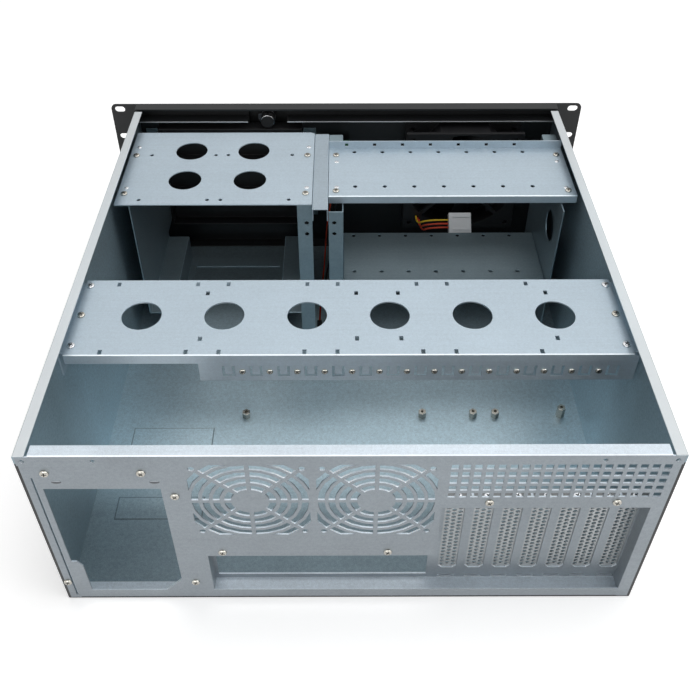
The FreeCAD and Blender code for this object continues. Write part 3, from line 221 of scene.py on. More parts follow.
def make_plate_group():
    """Plated sheet steel: soft clouds, a fine crystalline speckle, faint rolling streaks and smudges."""
    graph, given, result = new_group(
        "plated_sheet_effect",
        {"Vector": None, "Colour": GREY, "Clouds": 0.08, "Speckle": 0.08, "Streaks": 0.05, "Roughness": 0.4,
         "Smudges": 0.03},
        ("Colour", "Roughness", "Height"))
    vector = given["Vector"]
    stretched = graph.add("ShaderNodeMapping", Vector=vector)
    stretched.inputs["Scale"].default_value = (6.0, 420.0, 420.0)
    clouds = graph.noise(vector, 14.0, 3.0, 0.55)
    speckle = graph.noise(vector, 1500.0, 2.0, 0.6)
    grain = graph.noise(vector, 420.0, 2.0, 0.6)
    streaks = graph.noise(stretched.outputs["Vector"], 1.0, 4.0, 0.6)
    smudges = graph.noise(vector, 30.0, 4.0, 0.65)
    total = graph.plus(1.0, graph.swing(clouds), given["Clouds"])
    total = graph.plus(total, graph.swing(speckle), given["Speckle"])
    total = graph.plus(total, graph.swing(grain, reach=0.6), given["Speckle"])
    total = graph.plus(total, graph.swing(streaks), given["Streaks"])
    graph.feed(result["Colour"], graph.scaled(given["Colour"], total))
    rough = graph.plus(given["Roughness"], graph.swing(smudges, 0.35), given["Smudges"])
    graph.feed(result["Roughness"], graph.plus(rough, graph.swing(streaks), given["Streaks"]))
    graph.feed(result["Height"], graph.maths("ADD", speckle, graph.times(streaks, 0.6)))
    return graph.tree


def make_coat_group():
    """Powder coat or moulded plastic: a fine orange peel, faint clouds and dust."""
    graph, given, result = new_group(
        "coat_effect",
        {"Vector": None, "Colour": (0.02, 0.02, 0.02, 1), "Peel Scale": 900.0, "Dust": 0.1, "Roughness": 0.45},
        ("Colour", "Roughness", "Height"))
    dust_colour = (0.20, 0.21, 0.22)
    vector = given["Vector"]
    clouds = graph.noise(vector, 22.0, 4.0, 0.6)
    specks = graph.ranged(graph.noise(vector, 700.0, 1.0), 0.72, 0.78)
    dust = graph.maths("ADD", graph.ranged(clouds, 0.35, 0.75, 0.0, 0.5), specks)
    graph.feed(result["Colour"], graph.mixed(graph.times(dust, given["Dust"]), given["Colour"], dust_colour))
    graph.feed(result["Roughness"], graph.plus(given["Roughness"], graph.swing(clouds), 0.06))
    graph.feed(result["Height"], graph.noise(vector, given["Peel Scale"]))
    return graph.tree


def make_painted_light_group():
    """Painted light by facing: brightens plated sheet that looks straight up as a painted highlight (a factor
    below 1 paints shade there instead), and its folds a little more, as a painted highlight.
    """
    graph, given, result = new_group("painted_light_by_facing", {"Normal": None, "Colour": GREY, "Lift": 1.0}, ("Colour",))
    up = graph.axes(given["Normal"])[2]
    # Painted highlight on folds: faces leaning between straight up and level.
    fold = graph.times(graph.ranged(up, 0.5, 0.62), graph.ranged(up, 0.8, 0.92, 1.0, 0.0))
    factor = graph.times(graph.ranged(up, 0.35, 0.95, 1.0, given["Lift"]), graph.plus(1.0, fold, 1.1))
    graph.feed(result["Colour"], graph.scaled(given["Colour"], factor))
    return graph.tree


# ---------- materials


def start_material(name):
    """Node tree and shader inputs of a new material, which is kept by its name."""
    material = MATERIALS[name] = bpy.data.materials.new(name)
    material.use_nodes = True
    return Graph(material.node_tree), material.node_tree.nodes["Principled BSDF"].inputs


def surface(graph, inputs, colour, roughness, height, depth, strength, metallic=0.0, specular=0.5):
    """Feeds a shader's inputs, and a bump from a height; its depth is in millimetres."""
    bump = graph.add("ShaderNodeBump", Distance=depth * MM, Strength=strength, Height=height)
    for name, value in (("Base Color", colour), ("Roughness", roughness), ("Metallic", metallic),
                        ("Specular IOR Level", specular), ("Normal", bump.outputs["Normal"])):
        graph.feed(inputs[name], value)


def plated_metal(name, colour, metallic, lift, **values):
    """A zinc plated sheet finish, with painted light by facing: faces that look up are brightened by the lift
    as a painted highlight, or darkened as painted shade when it is below 1, and folds get a painted highlight.
    """
    graph, inputs = start_material(name)
    plate = graph.grouped(make_plate_group, Vector=graph.coordinates(), Colour=colour, **values)
    painted_lit = graph.grouped(
        make_painted_light_group, Normal=graph.coordinates("Normal"), Colour=plate["Colour"], Lift=lift)
    surface(graph, inputs, painted_lit["Colour"], plate["Roughness"], plate["Height"], 0.02, 0.5, metallic)
    return graph, inputs


def coated(name, colour, roughness, peel, dust, depth=0.03, specular=0.4):
    """A powder coat or moulded plastic finish."""
    graph, inputs = start_material(name)
    coat = graph.grouped(make_coat_group, Vector=graph.coordinates(), Colour=colour, Roughness=roughness,
                         Peel_Scale=peel, Dust=dust)
    surface(graph, inputs, coat["Colour"], coat["Roughness"], coat["Height"], depth, 0.6, specular=specular)


def rear_metal():
    """Plated rear panel, whose side edges lie under the painted skin, with a strong painted highlight on faces
    that look up.
    """
    metallic, skin, strip = 0.55, 2.1 * MM, 10 * MM
    graph, inputs = plated_metal("rear_steel", colours().rear, metallic, 2.3, Clouds=0.07, Speckle=0.10,
                                 Streaks=0.04, Roughness=0.42)
    x, _, z = graph.axes(graph.coordinates())
    side = graph.above(graph.maths("ABSOLUTE", x), CASE_HIGH.x - skin, 0.05 * MM)
    side = graph.times(side, graph.below(z, CASE_HIGH.z - strip, 0.1 * MM))
    plain = inputs["Base Color"].links[0].from_socket
    graph.feed(inputs["Base Color"], graph.mixed(side, plain, colours().paint))
    graph.feed(inputs["Metallic"], graph.plus(metallic, side, -metallic))


def outline(graph, axes, middle, half):
    """1 along the outline of a rectangle on the floor, given by its middle and half sizes in millimetres."""
    line, softness = 0.5 * MM, 0.15 * MM
    reach = []
    for axis, centre, size in zip(axes, middle, half):
        away = graph.maths("ABSOLUTE", graph.maths("SUBTRACT", axis, centre * MM))
        reach.append(graph.maths("SUBTRACT", away, size * MM))
    edge = graph.maths("ABSOLUTE", graph.maths("MAXIMUM", *reach))
    return graph.below(edge, line, softness)


def chassis_metal():
    """Plated inside with floor pads outlined in painted shade and painted shade towards the front and rear,
    black painted outside up to a bare rim along the top, whose top edge carries a painted highlight.
    """
    graph, inputs = start_material("chassis_steel")
    vector = graph.coordinates()
    plate = graph.grouped(make_plate_group, Vector=vector, Colour=colours().inside, Clouds=0.05, Speckle=0.16,
                          Streaks=0.03, Smudges=0.02)
    coat = graph.grouped(make_coat_group, Vector=vector, Colour=colours().paint, Roughness=0.4, Dust=0.03)
    x, y, z = graph.axes(vector)
    across = graph.maths("ABSOLUTE", x)
    thickness, hard, soft = 1.3 * MM, 0.02 * MM, 0.05 * MM
    below_strip = graph.below(z, CASE_HIGH.z - 8.0 * MM, 0.1 * MM)
    rear_end = graph.above(y, CASE_HIGH.y - 0.4 * MM, soft)
    outside = graph.maths("MAXIMUM", graph.above(across, CASE_HIGH.x - 0.5 * MM, hard),
                          graph.times(rear_end, graph.above(across, CASE_HIGH.x - thickness, soft)))
    underside = graph.maths("MAXIMUM", graph.below(z, 0.5 * MM, hard),
                            graph.times(rear_end, graph.below(z, thickness, soft)))
    painted = graph.maths("MAXIMUM", graph.times(outside, below_strip), underside)
    # Painted shade: thin dark lines along the edges of the two raised floor pads, which halve the plate colour
    # there.
    pads = [outline(graph, (x, y), (157.6, 240.0 - depth), (36.0, 10.5)) for depth in (78.7, 152.5)]
    on_floor = graph.below(z, 4.0 * MM, 0.1 * MM)
    pad_edge_shade = graph.times(graph.maths("MAXIMUM", *pads), on_floor)
    # Painted shade: the plate is darkened towards the front (to half) and towards the rear (to 0.55).
    painted_shade = graph.times(graph.ranged(y, -130 * MM, -40 * MM, 0.5, 1.0),
                       graph.ranged(y, 105 * MM, 165 * MM, 1.0, 0.55))
    shaded = graph.scaled(plate["Colour"], graph.times(graph.plus(1.0, pad_edge_shade, -0.5), painted_shade))
    # Painted highlight: the top 0.7 mm of the bare rim is brightened towards pale grey.
    rim = graph.above(z, CASE_HIGH.z - 0.7 * MM, 0.3 * MM)
    bare = graph.mixed(graph.times(rim, 0.85), shaded, (0.72, 0.75, 0.765))
    rough = graph.add("ShaderNodeMix")
    for index, value in ((0, painted), (2, plate["Roughness"]), (3, coat["Roughness"])):
        graph.feed(rough.inputs[index], value)
    colour = graph.mixed(painted, bare, coat["Colour"])
    metallic = graph.times(graph.maths("SUBTRACT", 1.0, painted), 0.72)
    surface(graph, inputs, colour, rough.outputs[0], plate["Height"], 0.02, 0.5, metallic)


def frame_paint():
    """Black paint whose cut edge along the inner frame's flange is bare metal."""
    graph, inputs = start_material("painted_frame")
    vector = graph.coordinates()
    coat = graph.grouped(make_coat_group, Vector=vector, Colour=colours().paint, Roughness=0.34, Dust=0.03)
    _, y, z = graph.axes(vector)
    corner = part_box("front_frame")[1]
    bare = graph.times(graph.above(y, corner.y - 0.12 * MM, 0.03 * MM),
                       graph.above(z, corner.z - 3.0 * MM, 0.1 * MM))
    colour = graph.mixed(bare, coat["Colour"], (0.62, 0.64, 0.66))
    metallic = graph.times(bare, 0.8)
    surface(graph, inputs, colour, coat["Roughness"], coat["Height"], 0.02, 0.5, metallic, 0.4)


def make_materials():
    """Every finish of the case."""
    c = colours()
    chassis_metal()
    rear_metal()
    frame_paint()
    # The lift column scales painted light on faces that look up: above 1 a painted highlight, below 1 painted
    # shade; every row also gets a painted highlight on its folds.
    for name, colour, metallic, lift, clouds, speckle, streaks, roughness in (
            ("plated_sheet", c.plated, 0.6, 1.0, 0.03, 0.06, 0.03, 0.4),
            # a copy of the plated sheet at 0.8 of its colour, for the channel cover
            ("plated_darker", [0.8 * v for v in c.plated], 0.6, 1.0, 0.03, 0.08, 0.03, 0.4),
            ("cage_steel", [0.5 * v for v in c.inside], 0.65, 1.0, 0.06, 0.08, 0.04, 0.38),
            ("cover_steel", (0.40, 0.42, 0.43), 0.6, 0.5, 0.05, 0.10, 0.02, 0.4),
            # pressed lances: a near black copy of the rear plating as painted shade, with a strong painted
            # highlight where they look up
            ("pressed_lance", (0.12, 0.13, 0.14), 0.6, 2.5, 0.05, 0.08, 0.05, 0.4),
            # cross recesses: a near black copy of the screw metal, painted shade
            ("screw_recess_shade", (0.05, 0.045, 0.04), 0.5, 1.0, 0.05, 0.08, 0.05, 0.5),
            ("passivated_screw", c.brass, 1.0, 1.0, 0.1, 0.05, 0.05, 0.22),
            ("steel_screw", (0.66, 0.68, 0.70), 0.95, 1.0, 0.08, 0.04, 0.05, 0.26),
            ("dark_screw", (0.06, 0.06, 0.065), 0.8, 1.0, 0.1, 0.05, 0.05, 0.4),
            ("lock_chrome", (0.70, 0.71, 0.73), 1.0, 1.0, 0.03, 0.02, 0.05, 0.16)):
        plated_metal(name, colour, metallic, lift, Clouds=clouds, Speckle=speckle, Streaks=streaks,
                     Roughness=roughness)
    for name, colour, roughness, peel, dust in (
            ("black_paint", c.paint, 0.42, 900.0, 0.03), ("black_plastic", c.plastic, 0.5, 1400.0, 0.05),
            ("board_green", (0.02, 0.12, 0.05), 0.35, 1200.0, 0.03),
            ("lamp_lens", (0.55, 0.60, 0.58), 0.2, 300.0, 0.0),
            ("connector_white", (0.66, 0.67, 0.68), 0.45, 700.0, 0.02),
            # painted shade: a near black finish for solids that stand in for the keyway and socket holes
            ("hole_shade", (0.006, 0.006, 0.007), 0.7, 900.0, 0.0),
            ("lead_red", (0.62, 0.07, 0.03), 0.4, 900.0, 0.02),
            ("lead_yellow", (0.75, 0.50, 0.03), 0.4, 900.0, 0.02),
            ("lead_black", (0.02, 0.02, 0.022), 0.4, 900.0, 0.02)):
        coated(name, colour, roughness, peel, dust)
    coated("dust_filter", (0.004, 0.004, 0.005), 0.8, 300.0, 0.02, depth=0.1, specular=0.1)


# ---------- mesh helpers


def add_object(name, data):
    """A new object in the scene."""
    item = bpy.data.objects.new(name, data)
    bpy.context.scene.collection.objects.link(item)
    return item


def mesh_of(name, form):
    """A mesh of a bmesh, which is freed."""
    mesh = bpy.data.meshes.new(name)
    form.to_mesh(mesh)
    form.free()
    return mesh


def welded(mesh, gap=0.001 * MM):
    """A bmesh of a mesh, with corners that lie together made one."""
    form = bmesh.new()
    form.from_mesh(mesh)
    bmesh.ops.remove_doubles(form, verts=form.verts, dist=gap)
    return form


def finish_mesh(name, data, material, stands_for=None, slot=None, body="case"):
    """Puts finished geometry (a bmesh or a mesh) in the scene as one piece that rides on a body."""
    if isinstance(data, bmesh.types.BMesh):
        bmesh.ops.recalc_face_normals(data, faces=data.faces)
        data = mesh_of(name, data)
    data.materials.clear()
    data.materials.append(MATERIALS[material])
    for polygon in data.polygons:
        polygon.material_index = 0
    piece = add_object(name, data)
    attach(piece, body)
    if stands_for:
        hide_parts(stands_for)
    return piece


def smooth_by_angle(mesh, degrees):
    mesh.shade_smooth()
    mesh.set_sharp_from_angle(angle=math.radians(degrees))


def smooth_piece(degrees, *parts, **options):
    """A finished piece whose faces shade smoothly up to an angle."""
    smooth_by_angle(finish_mesh(*parts, **options).data, degrees)


def evaluated_mesh(piece):
    """A plain mesh of the piece with its modifiers worked in, and the piece itself removed."""
    bpy.context.view_layer.update()
    graph = bpy.context.evaluated_depsgraph_get()
    mesh = bpy.data.meshes.new_from_object(piece.evaluated_get(graph), depsgraph=graph)
    old = piece.data
    bpy.data.objects.remove(piece)
    if old.users == 0:
        bpy.data.meshes.remove(old)
    return mesh


def flat_shaded(mesh, degrees=50):
    """Smooth shading that leaves large flat faces flat: normals weighted by face area."""
    smooth_by_angle(mesh, degrees)
    holder = add_object("shading", mesh)
    weighted = holder.modifiers.new("weighted_normals", "WEIGHTED_NORMAL")
    weighted.mode = "FACE_AREA"
    weighted.weight = 100
    weighted.keep_sharp = True
    return evaluated_mesh(holder)


def flood(start, neighbours, seen):
    """Everything that is reached from a start and wasn't seen before."""
    stack, members = [start], []
    seen.add(start)
    while stack:
        members.append(stack.pop())
        for other in neighbours(members[-1]):
            if other not in seen:
                seen.add(other)
                stack.append(other)
    return members


def mark_edges(form, cut, bend):
    """Weights each sharp edge for the bevel: full for a fold between broad faces, less for a cut edge."""
    flat, sharp, steep = math.radians(1.5), math.radians(32), math.radians(50)
    broad, fold_break = 2.5 * MM, 0.42 * MM
    fold_low, fold_high = 0.8 * MM, 1.05 * MM

    def crossed(edge):
        return len(edge.link_faces) == 2 and edge.calc_face_angle(0) < flat

    def beside(face):
        return [other for edge in face.edges if crossed(edge) for other in edge.link_faces]

    breadth, seen = {}, set()
    for face in form.faces:
        if face not in seen:
            members = flood(face, beside, seen)
            area = sum(member.calc_area() for member in members)
            border = sum(edge.calc_length() for member in members for edge in member.edges if not crossed(edge))
            breadth.update(dict.fromkeys(members, 2 * area / max(border, 1e-9)))
    layer = form.edges.layers.float.new("bevel_weight_edge")
    for edge in form.edges:
        angle = edge.calc_face_angle(0) if len(edge.link_faces) == 2 else 0
        if angle > sharp:
            narrow, wide = sorted(breadth[face] for face in edge.link_faces)
            if narrow > broad and edge.is_convex:
                edge[layer] = 1.0
            elif fold_low < narrow < fold_high and wide > broad and angle < steep:
                edge[layer] = min(1.0, fold_break / bend)
            else:
                edge[layer] = cut / bend


def dressed(node, material, width=None, slot=None, body="case"):
    """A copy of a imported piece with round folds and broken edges, in the node's place."""
    mesh = frame["nodes"][node].data.copy()
    form = welded(mesh)
    bmesh.ops.dissolve_limit(
        form, angle_limit=math.radians(0.5), verts=form.verts, edges=form.edges, delimit={"NORMAL"})
    bend = width or sizes().bend_radius
    mark_edges(form, width or sizes().edge_break, bend)
    form.to_mesh(mesh)
    form.free()
    holder = add_object(node + "_source", mesh)
    bevel = holder.modifiers.new("edge_break", "BEVEL")
    bevel.width = bend
    bevel.segments = 3
    bevel.limit_method = "WEIGHT"
    bevel.use_clamp_overlap = True
    finish_mesh(node + "_sheet", flat_shaded(evaluated_mesh(holder)), material, node, slot, body)


def dress_all(material, *nodes, **options):
    for node in nodes:
        dressed(node, material, **options)


def islands(node):
    """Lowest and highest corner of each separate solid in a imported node, in order along X."""
    form = welded(frame["nodes"][node].data)
    seen, found = set(), []
    for vertex in form.verts:
        if vertex not in seen:
            members = flood(vertex, lambda v: [edge.other_vert(v) for edge in v.link_edges], seen)
            found.append([Vector([limit(v.co[i] for v in members) for i in range(3)]) for limit in (min, max)])
    form.free()
    return sorted(found, key=lambda pair: pair[0].x)


HEAD_HEIGHT = islands("rear_screws")[0][1].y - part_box("rear_panel")[1].y


def placed(node):
    """Lowest corner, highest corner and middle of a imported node."""
    low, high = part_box(node)
    return low, high, (low + high) / 2


def circle(steps):
    """Cosine and sine of equal steps around a circle."""
    angles = [2 * math.pi * i / steps for i in range(steps)]
    return [(math.cos(angle), math.sin(angle)) for angle in angles]


def closed_tube(form, rings):
    """Faces between rings of corners, or the single corner of an end, and over both ends."""
    steps = max(len(ring) for ring in rings)
    for lower, upper in zip(rings, rings[1:]):
        for i in range(steps):
            j = (i + 1) % steps
            if len(lower) == 1:
                form.faces.new((lower[0], upper[i], upper[j]))
            elif len(upper) == 1:
                form.faces.new((lower[i], lower[j], upper[0]))
            else:
                form.faces.new((lower[i], lower[j], upper[j], upper[i]))
    for end in (rings[0][::-1], rings[-1]):
        if len(end) > 1:
            form.faces.new(end)
    return form


def lathe(profile, steps):
    """A solid turned about +Z from (radius, height) pairs, lowest first."""
    form = bmesh.new()
    rings = []
    for radius, height in profile:
        around = circle(steps) if radius > 1e-9 else [(0, 0)]
        rings.append([form.verts.new((radius * c, radius * s, height)) for c, s in around])
    return closed_tube(form, rings)


def moved(form, matrix):
    bmesh.ops.transform(form, matrix=matrix, verts=form.verts)
    return form


def add_form(target, form):
    """Adds one bmesh to another and frees it."""
    mesh = mesh_of("scratch", form)
    target.from_mesh(mesh)
    bpy.data.meshes.remove(mesh)


def block(target, low, high, bevel=0.0):
    """A rectangular bar between two corners, with its edges broken if a bevel is given."""
    form = bmesh.new()
    bmesh.ops.create_cube(form, size=1.0)
    size = Vector(high) - Vector(low)
    middle = (Vector(high) + Vector(low)) / 2
    for vertex in form.verts:
        vertex.co = vertex.co * size + middle
    if bevel:
        bmesh.ops.bevel(form, geom=form.edges[:], offset=bevel, segments=2, affect="EDGES", profile=0.7)
    add_form(target, form)


def turned_to(axis):
    """Rotation that takes +Z to an axis."""
    return Vector(UP).rotation_difference(Vector(axis)).to_matrix().to_4x4()


def standing_at(place, axis=REARWARD):
    return Matrix.Translation(place) @ turned_to(axis)


# ---------- screws and copies


def screw_form(recess):
    """A pan head screw about +Z on height 0, as wide as 1: its head, or the faces of its cross recess."""
    steps, arcs = 24, 5
    crown, side, shank = 0.5, 0.14, 0.42
    arm, half, taper, depth = 0.58, 0.13, 0.55, 0.06
    profile = [(shank, -0.5), (shank, 0.0), (1.0, 0.0), (1.0, side)]
    for i in range(1, arcs + 1):
        angle = math.pi / 2 * i / arcs
        profile.append((0.66 + 0.34 * math.cos(angle), side + 0.36 * math.sin(angle)))
    form = lathe(profile, steps)
    top = max(form.faces, key=lambda f: f.calc_center_median().z if len(f.verts) == steps else -9)
    bmesh.ops.delete(form, geom=[top], context="FACES_ONLY")
    rim = [v for v in form.verts if abs(v.co.z - crown) < 1e-6]
    rim.sort(key=lambda v: math.atan2(v.co.y, v.co.x))
    cross = []
    for quarter in range(4):
        turn = Matrix.Rotation(math.pi / 2 * quarter, 3, "Z")
        cross += [turn @ Vector((x, y, 0)) for x, y in ((arm, -half), (arm, half), (half, half))]
    upper = [form.verts.new((p.x, p.y, crown)) for p in cross]
    lower = [form.verts.new((p.x * taper, p.y * taper, depth)) for p in cross]
    following = [(i, (i + 1) % len(cross)) for i in range(len(cross))]
    sunk = [form.faces.new((upper[i], lower[i], lower[j], upper[j])) for i, j in following]
    sunk.append(form.faces.new(lower[::-1]))
    edges = [form.edges.get((upper[i], upper[j])) for i, j in following]
    edges += [form.edges.get((rim[i], rim[(i + 1) % steps])) for i in range(steps)]
    bmesh.ops.triangle_fill(form, edges=[edge for edge in edges if edge], use_beauty=True)
    bmesh.ops.recalc_face_normals(form, faces=form.faces)
    dropped = [face for face in form.faces if (face in sunk) != recess]
    bmesh.ops.delete(form, geom=dropped, context="FACES")
    return form


def make_scatter_tree():
    """Geometry nodes: one copy of a piece on each point, facing one way, turned by a random angle."""
    tree = bpy.data.node_groups.new("copies_on_points", "GeometryNodeTree")
    for name, kind in (("Points", "Geometry"), ("Piece", "Object"), ("Spin", "Float"), ("Facing", "Vector"),
                       ("Radius", "Float"), ("Seed", "Int")):
        tree.interface.new_socket(name, in_out="INPUT", socket_type="NodeSocket" + kind)
    tree.interface.new_socket("Geometry", in_out="OUTPUT", socket_type="NodeSocketGeometry")
    start, end, info, spread, spin, local, facing, joined, realize = [tree.nodes.new(kind) for kind in (
        "NodeGroupInput", "NodeGroupOutput", "GeometryNodeObjectInfo", "GeometryNodeInstanceOnPoints",
        "FunctionNodeRandomValue", "FunctionNodeAxisAngleToRotation", "FunctionNodeAlignRotationToVector",
        "FunctionNodeRotateRotation", "GeometryNodeRealizeInstances")]
    facing.axis = "Z"
    joined.rotation_space = "LOCAL"
    spin.data_type = "FLOAT"
    bounds = {socket.name: socket for socket in spin.inputs if socket.type == "VALUE"}
    bounds["Min"].default_value = 0.0
    tree.links.new(start.outputs["Spin"], bounds["Max"])
    tree.links.new([socket for socket in spin.outputs if socket.type == "VALUE"][0], local.inputs["Angle"])
    for source, output, target, name in (
            (start, "Piece", info, "Object"), (start, "Points", spread, "Points"),
            (info, "Geometry", spread, "Instance"), (start, "Seed", spin, "Seed"),
            (start, "Facing", facing, "Vector"), (facing, "Rotation", joined, "Rotation"),
            (local, "Rotation", joined, "Rotate By"), (joined, "Rotation", spread, "Rotation"),
            (start, "Radius", spread, "Scale"), (spread, "Instances", realize, "Geometry"),
            (realize, "Geometry", end, "Geometry")):
        tree.links.new(source.outputs[output], target.inputs[name])
    return tree


def copies(name, points, form, axis, scale, spin=0.0):
    """One mesh of a form repeated on points by geometry nodes."""
    mesh = bpy.data.meshes.new(name + "_points")
    mesh.from_pydata([tuple(point) for point in points], [], [])
    holder = add_object(name + "_points", mesh)
    source = add_object(name + "_source", mesh_of(name + "_source", form))
    modifier = holder.modifiers.new("copies", "NODES")
    modifier.node_group = bpy.data.node_groups.get("copies_on_points") or make_scatter_tree()
    values = {"Piece": source, "Facing": Vector(axis), "Radius": scale, "Spin": spin, "Seed": 3}
    for item in modifier.node_group.interface.items_tree:
        if item.item_type == "SOCKET" and item.in_out == "INPUT" and item.name in values:
            modifier[item.identifier] = values[item.name]
    result = evaluated_mesh(holder)
    bpy.data.objects.remove(source)
    return result


def place_screws(name, node, axis, material, radius, keep=None, in_place=True):
    """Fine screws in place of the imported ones, each on the seat that its solid's head has."""
    slot = "dark_screw" if material == "dark_screw" else "passivated_screw"
    points = []
    for low, high in islands(node):
        middle = (low + high) / 2
        for i in range(3):
            if axis[i]:
                middle[i] = high[i] - HEAD_HEIGHT if axis[i] > 0 else low[i] + HEAD_HEIGHT
        if keep is None or keep(middle):
            points.append(middle)
    heads = copies(name, points, screw_form(False), axis, radius, math.pi)
    smooth_piece(30, name, heads, material, node if in_place else None, slot)
    # The cross recesses are painted shade: a near black copy of the screw metal.
    recesses = copies(name, points, screw_form(True), axis, radius, math.pi)
    finish_mesh(name + "_recess", recesses, "screw_recess_shade", slot=slot)


# ---------- fine pieces


def dome_form():
    """A low round dimple about +Z, as wide as 1."""
    return lathe([(1.0, 0.0), (0.92, 0.10), (0.75, 0.17), (0.45, 0.22), (0.0, 0.24)], 20)


def cell_form():
    """One square cell of a perforated sheet, lying across Y, with a round hole in its middle."""
    half = sizes().perforation_pitch / 2
    radius = sizes().perforation_radius
    steps = 16
    form = bmesh.new()
    rings = []
    for y in (0.0, COVER_SHEET):
        hole, rim = [], []
        for c, s in circle(steps):
            reach = half / max(abs(c), abs(s))
            hole.append(form.verts.new((radius * c, y, radius * s)))
            rim.append(form.verts.new((reach * c, y, reach * s)))
        rings.append((hole, rim))
    for i in range(steps):
        j = (i + 1) % steps
        for hole, rim in rings:
            form.faces.new((hole[i], rim[i], rim[j], hole[j]))
        form.faces.new((rings[0][0][i], rings[0][0][j], rings[1][0][j], rings[1][0][i]))
    bmesh.ops.recalc_face_normals(form, faces=form.faces)
    return form


def perforated_cover(node):
    """A card slot cover with three staggered columns of round holes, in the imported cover's place."""
    low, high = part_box(node)
    middle = (low.x + high.x) / 2
    pitch = sizes().perforation_pitch
    rows = sizes().perforation_rows
    half, side, tongue, edge_break = pitch / 2, 1.5 * pitch, 5.1 * MM, 0.2 * MM
    field_low = SLOT_LOW + 1.0 * MM
    field_high = field_low + rows * pitch
    shoulder = low.z + 8.4 * MM
    back, top = low.y + COVER_SHEET, high.z - COVER_SHEET
    points = []
    for column in (-1, 0, 1):
        shift = 0.0 if column else 0.5
        for row in range(rows + (0 if column else -1)):
            points.append((middle + column * pitch, low.y, field_low + (row + 0.5 + shift) * pitch))
    cells = copies(node + "_cells", points, cell_form(), UP, 1.0)
    form = welded(cells, 0.005 * MM)
    bpy.data.meshes.remove(cells)
    for x0, x1, z0, z1 in (
            (low.x, middle - side, shoulder, top), (middle + side, high.x, shoulder, top),
            (middle - side, middle + side, shoulder, field_low),
            (middle - side, middle + side, field_high, top),
            (middle - half, middle + half, field_low, field_low + half),
            (middle - half, middle + half, field_high - half, field_high)):
        block(form, (x0, low.y, z0), (x1, back, z1))
    block(form, (low.x, low.y, top), high, edge_break)
    block(form, (middle - tongue, low.y, low.z), (middle + tongue, back, shoulder), edge_break)
    name = node + "_perforated"
    finish_mesh(name, flat_shaded(mesh_of(name, form), 30), "cover_steel", node, "rear_steel")


def round_handle(node):
    """A round bar handle bent to a U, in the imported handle's place."""
    low, high, middle = placed(node)
    radius = (high.x - low.x) / 2
    x, steps, arcs, bend = middle.x, 20, 10, 12.0 * MM
    reach, bottom, top = low.y + radius, low.z + radius, high.z - radius
    points = [Vector((x, high.y, bottom))]
    for i in range(arcs + 1):
        angle = math.pi / 2 * i / arcs
        points.append(Vector((x, reach + bend * (1 - math.sin(angle)), bottom + bend * (1 - math.cos(angle)))))
    points += [Vector((x, p.y, bottom + top - p.z)) for p in points[::-1]]
    form = bmesh.new()
    across = Vector((1, 0, 0))
    rings = []
    for before, point, after in zip(points[:1] + points, points, points[1:] + points[-1:]):
        up = (after - before).normalized().cross(across)
        rings.append([form.verts.new(point + radius * 0.995 * (c * across + s * up)) for c, s in circle(steps)])
    smooth_piece(40, node + "_bar", closed_tube(form, rings), "black_paint", node)


def turned_piece(name, node, profile, steps, material, **options):
    """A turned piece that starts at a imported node's front and points to the rear."""
    low, _, middle = placed(node)
    form = moved(lathe(profile, steps), standing_at((middle.x, low.y, middle.z)))
    smooth_piece(40, name, form, material, **options)


def make_lock():
    """The lock: a dark barrel with a bezel, a bright turned collar near its end, and its cam."""
    low, high, middle = placed("lock_barrel")
    bezel = (high.x - low.x) / 2
    body = bezel - 0.8 * MM
    length = high.y - low.y
    options = {"slot": "lock_chrome", "body": "lock"}
    turned_piece("lock_body", "lock_barrel", [
        (0, 0.7 * MM), (body - 2.2 * MM, 0.7 * MM), (body - 1.8 * MM, 0.15 * MM), (bezel - 0.5 * MM, 0.0),
        (bezel, 0.4 * MM), (bezel, 1.0 * MM), (body - 0.25 * MM, 1.0 * MM),
        (body - 0.25 * MM, length - 0.3 * MM), (body - 0.6 * MM, length), (0, length),
    ], 48, "black_plastic", stands_for="lock_barrel", **options)
    turned_piece("lock_collar", "lock_barrel", [
        (body - 0.3 * MM, length - 2.0 * MM), (body, length - 1.8 * MM), (body, length - 0.9 * MM),
        (body - 0.3 * MM, length - 0.7 * MM)], 48, "lock_chrome", **options)
    # The keyway is a thin near black block: painted shade in place of a slot.
    reach, half = 3.9 * MM, 0.8 * MM
    form = bmesh.new()
    block(form, (middle.x - reach, low.y + 0.3 * MM, middle.z - half),
          (middle.x + reach, low.y + 0.75 * MM, middle.z + half), 0.1 * MM)
    finish_mesh("lock_keyway", form, "hole_shade", **options)
    dressed("lock_cam", "dark_screw", 0.15 * MM, **options)


def make_buttons():
    """Round push buttons with softly broken rims, and domed lamps."""
    stem = 1.5 * MM
    for node in ("power_button", "reset_button"):
        low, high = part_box(node)
        collar = (high.x - low.x) / 2
        cap = collar - 1.0 * MM
        length = high.y - low.y
        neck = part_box("front_frame")[0].y + 1.5 * MM - low.y
        turned_piece(node + "_turned", node, [
            (0, 0.25 * MM), (cap * 0.72, 0.05 * MM), (cap - 0.5 * MM, 0.0), (cap, 0.45 * MM), (cap, neck),
            (collar, neck), (collar, neck + 1.0 * MM), (stem, neck + 1.0 * MM), (stem, length), (0, length),
        ], 40, "black_plastic", stands_for=node, body=node)
    form = bmesh.new()
    radius = 1.5 * MM
    for low, high in islands("lamps"):
        length = high.y - low.y
        lamp = lathe([
            (0, 0.0), (radius * 0.5, 0.1 * MM), (radius * 0.87, 0.45 * MM), (radius, 1.0 * MM),
            (radius, length), (0, length)], 20)
        middle = (low + high) / 2
        add_form(form, moved(lamp, standing_at((middle.x, low.y, middle.z))))
    smooth_piece(40, "lamp_lenses", form, "lamp_lens", "lamps")


